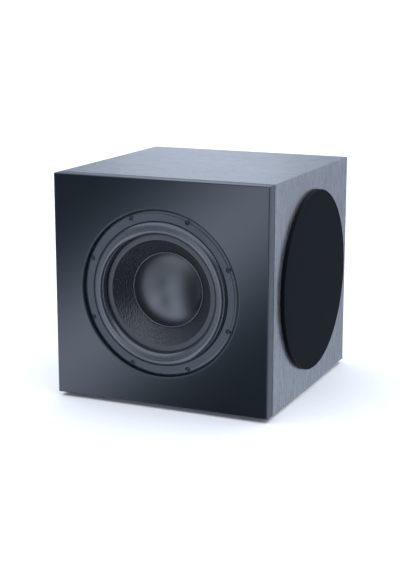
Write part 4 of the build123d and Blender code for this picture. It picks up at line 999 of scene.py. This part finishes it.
class SUBWOOFER_OT_driver(bpy.types.Operator):
    """Driver: basket, gasket, surround, cone, cap and motor"""

    bl_idname = "subwoofer.driver"
    bl_label = "Driver"

    def execute(self, context):
        sizes = context.scene.subwoofer_driver
        body = "driver_diaphragm"
        lip_radius = (high("driver_surround").x - low("driver_surround").x) / 2
        profile = roll_profile(sizes, sizes.lip_depth, lip_radius)
        roll = turned("driver_roll", DRIVER, profile, slot_finish("roll_rubber"), TURNS, 50)
        placed(roll, "cabinet", "roll_rubber", "driver_surround")
        mark_shaded_lip(roll, DRIVER, sizes)
        blend_by_radius(roll, body, DRIVER, *roll_span(sizes))

        lip_fold = 1.0 * MM
        edge_depth = sizes.lip_depth - sizes.roll_radius * cos(sizes.roll_start) + lip_fold
        edge_radius = high("driver_cone").x
        neck_radius = high("voice_coil_former").x
        cone_thick = 1.5 * MM
        profile = cone_profile(
            edge_depth, edge_radius, sizes.inner_lip, sizes.neck_depth, neck_radius, cone_thick
        )
        cone = turned("driver_pulp_cone", DRIVER, profile, slot_finish("pulp_cone"), TURNS)
        placed(cone, body, "pulp_cone", "driver_cone")

        slope = (sizes.neck_depth - edge_depth) / (sizes.inner_lip - neck_radius)

        def cone_depth(radius):
            """Depth of the cone's front wall at a radius."""
            return edge_depth + (sizes.inner_lip - radius) * slope

        cap_thick = 1.2 * MM
        cap_lift = 2.0 * MM
        cap_depth = cone_depth(sizes.cap_radius) - cap_lift
        ball = (sizes.cap_radius**2 + sizes.cap_rise**2) / (2 * sizes.cap_rise)
        ball_middle = cap_depth - sizes.cap_rise + ball
        half_angle = asin(sizes.cap_radius / ball)
        outer = arc(ball_middle, 0, ball, pi, -half_angle, ROLL_STEPS)
        inner = arc(ball_middle, 0, ball - cap_thick, pi, -half_angle, ROLL_STEPS)
        dome = turned("dust_cap_dome", DRIVER, outer + inner[::-1], slot_finish("satin_cap"), TURNS, 50)
        placed(dome, body, "satin_cap", "driver_dust_cap")
        bead_steps = 20
        bead_high, bead_deep = 1.9 * MM, 1.9 * MM * 1.25
        bead_circle = 69.4 * MM
        bead_lift = 0.2 * MM
        normal = Vector((1 / sqrt(1 + slope**2), slope / sqrt(1 + slope**2)))
        centre = Vector((cone_depth(bead_circle), bead_circle)) - normal * bead_lift
        bead_profile = []
        for n in range(bead_steps):
            turn = 2 * pi * n / bead_steps
            bead_profile.append((centre.x + bead_deep * cos(turn), centre.y + bead_high * sin(turn)))
        bead = turned("dust_cap_bead", DRIVER, bead_profile, slot_finish("roll_rubber"), TURNS, 60)
        placed(bead, body, "roll_rubber")

        for node, slot in (
            ("driver_basket", "cast_frame"),
            ("driver_gasket", "gasket_rubber"),
            ("voice_coil_former", "former_film"),
            ("voice_coil", "copper_wire"),
            ("top_plate", "motor_steel"),
            ("magnet_rings", "ferrite"),
            ("pole_piece", "motor_steel"),
            ("terminal_block", "black_plastic"),
        ):
            dress(node, slot_finish(slot))
        return {"FINISHED"}


def spider_profile(depth, inner_radius, wave_radius, outer_radius, waves, swing, thick):
    """A corrugated ring that starts and ends flat."""
    wave_steps = 12
    steps = waves * wave_steps
    front = []
    for n in range(steps + 1):
        along = n / steps
        radius = inner_radius + (wave_radius - inner_radius) * along
        front.append((depth - swing * sin(2 * pi * waves * along), radius))
    front.append((depth, outer_radius))
    return front + [(d + thick, r) for d, r in front[::-1]]


class SUBWOOFER_OT_suspension(bpy.types.Operator):
    """Spiders and tinsel leads, which bend with the cones"""

    bl_idname = "subwoofer.suspension"
    bl_label = "Suspension"

    def execute(self, context):
        thick = 0.6 * MM
        swing = 1.9 * MM
        glued_rim = 6 * MM
        glued_neck = 2 * MM
        radiator_tube = 40 * MM
        spider_turns = 144
        jobs = [("driver_spider", DRIVER, "driver_diaphragm", 5, high("voice_coil_former").x)]
        for side, section in SIDES.items():
            jobs.append((f"{side}_radiator_spider", section, f"{side}_radiator", 4, radiator_tube))
        for node, section, body, waves, inner_radius in jobs:
            depth = sum(section.depths_of(node)) / 2 - thick / 2
            outer_radius = (high(node).z - low(node).z) / 2
            wave_radius = outer_radius - glued_rim
            profile = spider_profile(depth, inner_radius, wave_radius, outer_radius, waves, swing, thick)
            piece = turned(f"{node}_cloth", section, profile, slot_finish("spider_cloth"), spider_turns, 60)
            placed(piece, "cabinet", "spider_cloth", node)
            blend_by_radius(piece, body, section, wave_radius, inner_radius + glued_neck)
        self.tinsel_leads(context)
        return {"FINISHED"}

    def tinsel_leads(self, context):
        """Two curved leads from the terminals to the cone, as one piece."""

        lead_low, lead_high = low("tinsel_leads"), high("tinsel_leads")
        radius = 1.0 * MM
        parts = []
        for x in (lead_low.x + radius, lead_high.x - radius):
            curve = bpy.data.curves.new("tinsel", "CURVE")
            curve.dimensions = "3D"
            curve.bevel_depth = radius
            curve.bevel_resolution = 4
            curve.resolution_u = 16
            curve.use_fill_caps = True
            spline = curve.splines.new("BEZIER")
            spline.bezier_points.add(1)
            ends = (
                (Vector((x, lead_high.y - radius, lead_low.z + radius)), Vector((0, 0, 14 * MM))),
                (Vector((x, lead_low.y + radius, lead_high.z - radius)), Vector((0, 8 * MM, -12 * MM))),
            )
            for point, (place, pull), way in zip(spline.bezier_points, ends, (1, -1)):
                point.co = place
                point.handle_left_type = point.handle_right_type = "FREE"
                point.handle_right = place + pull * way
                point.handle_left = place - pull * way
            part = bpy.data.objects.new("tinsel", curve)
            context.scene.collection.objects.link(part)
            parts.append(part)
        joined = bmesh.new()
        graph = context.evaluated_depsgraph_get()
        for part in parts:
            made = bpy.data.meshes.new_from_object(part.evaluated_get(graph))
            joined.from_mesh(made)
            bpy.data.objects.remove(part)
        mesh = bpy.data.meshes.new("tinsel_pair")
        joined.to_mesh(mesh)
        joined.free()
        finish_mesh(mesh, 50)
        piece = add_object("tinsel_pair", mesh, slot_finish("braided_lead"))
        placed(piece, "cabinet", "braided_lead", "tinsel_leads")
        fixed_at, moving_at = 84 * MM, 56 * MM
        blend_by_radius(piece, "driver_diaphragm", DRIVER, fixed_at, moving_at)


class SUBWOOFER_OT_radiators(bpy.types.Operator):
    """Passive radiators behind the side grilles"""

    bl_idname = "subwoofer.radiators"
    bl_label = "Radiators"

    def execute(self, context):
        sizes = context.scene.subwoofer_driver
        for side, section in SIDES.items():
            node = f"{side}_radiator_surround"
            lip_depth = section.depths_of(node)[0] + sizes.roll_radius * (1 + cos(sizes.roll_start))
            lip_radius = (high(node).z - low(node).z) / 2
            profile = roll_profile(sizes, lip_depth, lip_radius)
            rubber = slot_finish("roll_rubber")
            roll = turned(f"{side}_radiator_roll", section, profile, rubber, SIDE_TURNS, 50)
            placed(roll, "cabinet", "roll_rubber", node)
            mark_shaded_lip(roll, section, sizes)
            blend_by_radius(roll, f"{side}_radiator", section, *roll_span(sizes))
            dress(f"{side}_radiator_frame", slot_finish("cast_frame"))
            dress(f"{side}_radiator_cone", slot_finish("pulp_cone"))
            dress(f"{side}_radiator_weight", slot_finish("motor_steel"))
        return {"FINISHED"}


class SUBWOOFER_OT_grilles(bpy.types.Operator):
    """Side grilles: moulded ring and stretched cloth"""

    bl_idname = "subwoofer.grilles"
    bl_label = "Grilles"

    def execute(self, context):
        rings = 16
        cloth_turns = 160
        edge_drop = 0.18 * MM
        clear = 0.1 * MM
        front_share, rear_share = 0.995, 0.99
        for side, section in SIDES.items():
            body = f"{side}_grille"
            cloth_node = f"{side}_grille_cloth"
            face, back = section.depths_of(cloth_node)
            radius = (high(cloth_node).z - low(cloth_node).z) / 2
            dress(f"{side}_grille_frame", slot_finish("grille_plastic"))
            profile = [(face, radius * n / rings * front_share) for n in range(rings + 1)]
            profile += [(face + edge_drop, radius - clear), (back, radius - clear)]
            profile += [(back, radius * n / rings * rear_share) for n in range(rings, -1, -1)]
            cloth = slot_finish("grille_cloth")
            piece = turned(f"{side}_cloth_cover", section, profile, cloth, cloth_turns, 40)
            placed(piece, body, "grille_cloth", cloth_node)
        return {"FINISHED"}


def socket(tree, name, kind, default=None):
    """A named input of a Geometry Nodes tree."""
    made = tree.interface.new_socket(name, in_out="INPUT", socket_type=kind)
    if default is not None:
        made.default_value = default
    return made


def ring_tree():
    """A tree that sets copies of one piece round a circle, each turned by chance about its own axis."""
    if "Ring of Copies" in bpy.data.node_groups:
        return bpy.data.node_groups["Ring of Copies"]
    tree = bpy.data.node_groups.new("Ring of Copies", "GeometryNodeTree")
    tree.interface.new_socket("Geometry", in_out="OUTPUT", socket_type="NodeSocketGeometry")
    socket(tree, "Piece", "NodeSocketObject")
    socket(tree, "Count", "NodeSocketInt", 8)
    socket(tree, "Circle Radius", "NodeSocketFloat", 0.1)
    socket(tree, "Start Angle", "NodeSocketFloat", 0.0)
    socket(tree, "Loose Turn", "NodeSocketFloat", 0.0)
    socket(tree, "Finish", "NodeSocketMaterial")
    nodes, links = tree.nodes, tree.links
    inputs = nodes.new("NodeGroupInput")
    outputs = nodes.new("NodeGroupOutput")
    circle = nodes.new("GeometryNodeMeshCircle")
    links.new(inputs.outputs["Count"], circle.inputs["Vertices"])
    links.new(inputs.outputs["Circle Radius"], circle.inputs["Radius"])
    turn = nodes.new("ShaderNodeCombineXYZ")
    links.new(inputs.outputs["Start Angle"], turn.inputs["Z"])
    turned_circle = nodes.new("GeometryNodeTransform")
    links.new(circle.outputs["Mesh"], turned_circle.inputs["Geometry"])
    links.new(turn.outputs["Vector"], turned_circle.inputs["Rotation"])
    info = nodes.new("GeometryNodeObjectInfo")
    links.new(inputs.outputs["Piece"], info.inputs["Object"])
    chance = nodes.new("FunctionNodeRandomValue")
    chance.data_type = "FLOAT"
    chance.inputs["Seed"].default_value = LOOSE_SEED
    links.new(inputs.outputs["Loose Turn"], [s for s in chance.inputs if s.name == "Max" and s.enabled][0])
    spin = nodes.new("ShaderNodeCombineXYZ")
    links.new([s for s in chance.outputs if s.enabled][0], spin.inputs["Z"])
    copies = nodes.new("GeometryNodeInstanceOnPoints")
    links.new(turned_circle.outputs["Geometry"], copies.inputs["Points"])
    links.new(info.outputs["Geometry"], copies.inputs["Instance"])
    links.new(spin.outputs["Vector"], copies.inputs["Rotation"])
    realize = nodes.new("GeometryNodeRealizeInstances")
    links.new(copies.outputs["Instances"], realize.inputs["Geometry"])
    paint = nodes.new("GeometryNodeSetMaterial")
    links.new(realize.outputs["Geometry"], paint.inputs["Geometry"])
    links.new(inputs.outputs["Finish"], paint.inputs["Material"])
    links.new(paint.outputs["Geometry"], outputs.inputs["Geometry"])
    return tree


def ring_of_copies(name, template, count, radius, start, loose, material):
    """Run the ring tree on an empty mesh and keep its result as a plain mesh in its own plane."""
    piece = add_object(name, bpy.data.meshes.new(name), None)
    modifier = piece.modifiers.new("ring", "NODES")
    modifier.node_group = ring_tree()
    values = {
        "Piece": template,
        "Count": count,
        "Circle Radius": radius,
        "Start Angle": start,
        "Loose Turn": loose,
        "Finish": material,
    }
    for item in modifier.node_group.interface.items_tree:
        if item.in_out == "INPUT":
            modifier[item.identifier] = values[item.name]
    bpy.context.view_layer.update()
    return bake_nodes(piece)


def screw_template(head_radius, head_tall, shank_radius, shank_long, recess_radius, recess_sides):
    """A button-head screw along +Z: domed head with a recess, and its shank."""
    bm = bmesh.new()
    sides = 24
    dome_steps = 6
    rim = 0.25
    recess_floor, recess_bottom, recess_taper = 0.3, 0.22, 0.92
    half_side = pi / recess_sides
    turns = [2 * pi * k / sides for k in range(sides)]
    outline = [(shank_radius, -shank_long), (shank_radius, 0.0), (head_radius, 0.0)]
    outline.append((head_radius, head_tall * rim))
    for n in range(1, dome_steps):
        turn = pi / 2 * n / dome_steps
        radius = recess_radius + (head_radius - recess_radius) * cos(turn)
        outline.append((radius, head_tall * (rim + (1 - rim) * sin(turn))))
    rings = [[bm.verts.new((0, 0, -shank_long))]]
    for radius, tall in outline:
        rings.append([bm.verts.new((radius * cos(turn), radius * sin(turn), tall)) for turn in turns])
    recess = (head_tall, recess_radius), (head_tall * recess_floor, recess_radius * recess_taper)
    for tall, radius in recess:
        ring = []
        for turn in turns:
            reach = radius * cos(half_side) / cos((turn % (2 * half_side)) - half_side)
            ring.append(bm.verts.new((reach * cos(turn), reach * sin(turn), tall)))
        rings.append(ring)
    rings.append([bm.verts.new((0, 0, head_tall * recess_bottom))])
    for first, second in zip(rings, rings[1:]):
        for k in range(sides):
            m = (k + 1) % sides
            corners = [ring[n % len(ring)] for ring, n in ((first, k), (first, m), (second, m), (second, k))]
            bm.faces.new(list(dict.fromkeys(corners)))
    mesh = bpy.data.meshes.new("screw")
    bm.to_mesh(mesh)
    bm.free()
    finish_mesh(mesh, 40)
    return add_object("screw_template", mesh, None)


def set_in_place(piece, origin, facing):
    """Move a flat ring made on the XY plane so that its Z looks along a direction."""
    toward = Vector(facing).normalized()
    side = Vector((0, 0, 1)).cross(toward)
    if side.length < MERGE_DISTANCE:
        side = Vector((1, 0, 0))
    side.normalize()
    up = toward.cross(side)
    turn = Matrix((side, up, toward)).transposed().to_4x4()
    piece.data.transform(Matrix.Translation(Vector(origin)) @ turn)
    return piece


def join_meshes(name, pieces):
    """One piece out of several, keeping their materials."""
    first = pieces[0]
    bm = bmesh.new()
    for piece in pieces:
        bm.from_mesh(piece.data)
    mesh = bpy.data.meshes.new(name)
    bm.to_mesh(mesh)
    bm.free()
    for material in first.data.materials:
        mesh.materials.append(material)
    for piece in pieces:
        bpy.data.objects.remove(piece)
    return add_object(name, mesh, None)


class SUBWOOFER_OT_screws(bpy.types.Operator):
    """Screws of the driver, the radiators and the feet"""

    bl_idname = "subwoofer.screws"
    bl_label = "Screws"

    def execute(self, context):
        steel = slot_finish("black_steel")
        screw = screw_template(
            head_radius=4.1 * MM,
            head_tall=2.2 * MM,
            shank_radius=2.35 * MM,
            shank_long=17 * MM,
            recess_radius=2.0 * MM,
            recess_sides=6,
        )
        count, start = 8, radians(22.5)
        driver_circle, driver_seat = 144.8 * MM, 5.5 * MM
        side_circle, side_seat = 147.5 * MM, 11 * MM
        ring = ring_of_copies("driver_screw_ring", screw, count, driver_circle, start, pi, steel)
        set_in_place(ring, DRIVER.origin + DRIVER.inward * driver_seat, -DRIVER.inward)
        placed(ring, "cabinet", "black_steel", "driver_screws")

        rings = []
        for side, section in SIDES.items():
            ring = ring_of_copies(f"{side}_screws", screw, count, side_circle, start, pi, steel)
            rings.append(set_in_place(ring, section.origin + section.inward * side_seat, -section.inward))
        both = join_meshes("radiator_screw_rings", rings)
        placed(both, "cabinet", "black_steel", "radiator_screws")
        bpy.data.objects.remove(screw)
        dress("foot_screws", steel)
        dress("grille_sockets", slot_finish("black_rubber"))
        return {"FINISHED"}


class SUBWOOFER_OT_amplifier(bpy.types.Operator):
    """Plate amplifier with its knobs, switches and sockets"""

    bl_idname = "subwoofer.amplifier"
    bl_label = "Amplifier"

    def execute(self, context):
        for node, slot in (
            ("amp_plate", "painted_plate"),
            ("amp_screws", "black_steel"),
            ("heat_sink", "black_aluminium"),
            ("circuit_board", "board_laminate"),
            ("transformer", "wound_tape"),
            ("mains_inlet", "black_plastic"),
            ("inlet_pins", "nickel_pins"),
            ("fuse_holder", "black_plastic"),
            ("status_lamp", "lamp_lens"),
            ("potentiometers", "motor_steel"),
            ("switch_bodies", "black_plastic"),
            ("input_jacks", "jack_metal"),
            ("volume_knob", "knob_plastic"),
            ("crossover_knob", "knob_plastic"),
            ("phase_lever", "knob_plastic"),
            ("standby_lever", "knob_plastic"),
            ("mains_rocker", "knob_plastic"),
        ):
            dress(node, slot_finish(slot))
        return {"FINISHED"}


class SUBWOOFER_OT_inside(bpy.types.Operator):
    """Driver lead, its clip and the damping wadding"""

    bl_idname = "subwoofer.inside"
    bl_label = "Inside"

    def execute(self, context):
        dress("driver_lead", slot_finish("lead_sheath"))
        dress("lead_clip", slot_finish("black_plastic"))
        lower, upper = low("damping_wadding"), high("damping_wadding")
        bm = bmesh.new()
        across, along = 30, 20
        steep = 5
        edge_share = 0.25
        even_share = 0.86
        rows = {}
        for face in (0, 1):
            for i in range(across + 1):
                for j in range(along + 1):
                    u, v = i / across, j / along
                    edge = min(u, 1 - u, v, 1 - v) * 2
                    puff = sqrt(min(1.0, edge * steep))
                    wobble = 0.5 + 0.5 * sin(7 * u + 3 * face) * cos(5 * v + 1)
                    x = lower.x + (upper.x - lower.x) * u
                    y = lower.y + (upper.y - lower.y) * v
                    puff *= even_share + (1 - even_share) * wobble
                    depth = (upper.z - lower.z) * (edge_share + (1 - edge_share) * puff)
                    z = upper.z - (depth if face else 0.0)
                    rows[face, i, j] = bm.verts.new((x, y, z))
        for face in (0, 1):
            for i in range(across):
                for j in range(along):
                    corners = ((i, j), (i + 1, j), (i + 1, j + 1), (i, j + 1))
                    bm.faces.new([rows[(face, *corner)] for corner in corners])
        rim = [((i, j), (i + 1, j)) for i in range(across) for j in (0, along)]
        rim += [((i, j), (i, j + 1)) for j in range(along) for i in (0, across)]
        for a, b in rim:
            bm.faces.new([rows[(0, *a)], rows[(0, *b)], rows[(1, *b)], rows[(1, *a)]])
        mesh = bpy.data.meshes.new("wadding")
        bm.to_mesh(mesh)
        bm.free()
        finish_mesh(mesh, 60)
        piece = add_object("wadding", mesh, slot_finish("white_wadding"))
        placed(piece, "cabinet", "white_wadding", "damping_wadding")
        return {"FINISHED"}


OPERATORS = [
    SUBWOOFER_OT_stage,
    SUBWOOFER_OT_fascia,
    SUBWOOFER_OT_cabinet,
    SUBWOOFER_OT_driver,
    SUBWOOFER_OT_suspension,
    SUBWOOFER_OT_radiators,
    SUBWOOFER_OT_grilles,
    SUBWOOFER_OT_screws,
    SUBWOOFER_OT_amplifier,
    SUBWOOFER_OT_inside,
]


class SUBWOOFER_PT_panel(bpy.types.Panel):
    """Buttons for each piece"""

    bl_idname = "SUBWOOFER_PT_panel"
    bl_label = "Subwoofer"
    bl_space_type = "VIEW_3D"
    bl_region_type = "UI"
    bl_category = "Subwoofer"

    def draw(self, context):
        layout = self.layout
        for settings in ("subwoofer_driver", "subwoofer_colours", "subwoofer_stage"):
            group = getattr(context.scene, settings)
            box = layout.box()
            for name in group.__annotations__:
                box.prop(group, name)
        for operator in OPERATORS:
            layout.operator(operator.bl_idname)


CLASSES = [DriverSizes, FinishColours, StageSizes, *OPERATORS, SUBWOOFER_PT_panel]


def register():
    """Register the classes and hang the settings on the scene."""
    for entry in CLASSES:
        bpy.utils.register_class(entry)
    bpy.types.Scene.subwoofer_driver = bpy.props.PointerProperty(type=DriverSizes)
    bpy.types.Scene.subwoofer_colours = bpy.props.PointerProperty(type=FinishColours)
    bpy.types.Scene.subwoofer_stage = bpy.props.PointerProperty(type=StageSizes)


def unregister():
    """Take the settings and the classes away again."""
    del bpy.types.Scene.subwoofer_stage
    del bpy.types.Scene.subwoofer_colours
    del bpy.types.Scene.subwoofer_driver
    for entry in reversed(CLASSES):
        bpy.utils.unregister_class(entry)


def main():
    """Build every piece in order."""
    register()
    for operator in OPERATORS:
        group, name = operator.bl_idname.split(".")
        getattr(getattr(bpy.ops, group), name)()


if __name__ == "__main__":
    main()
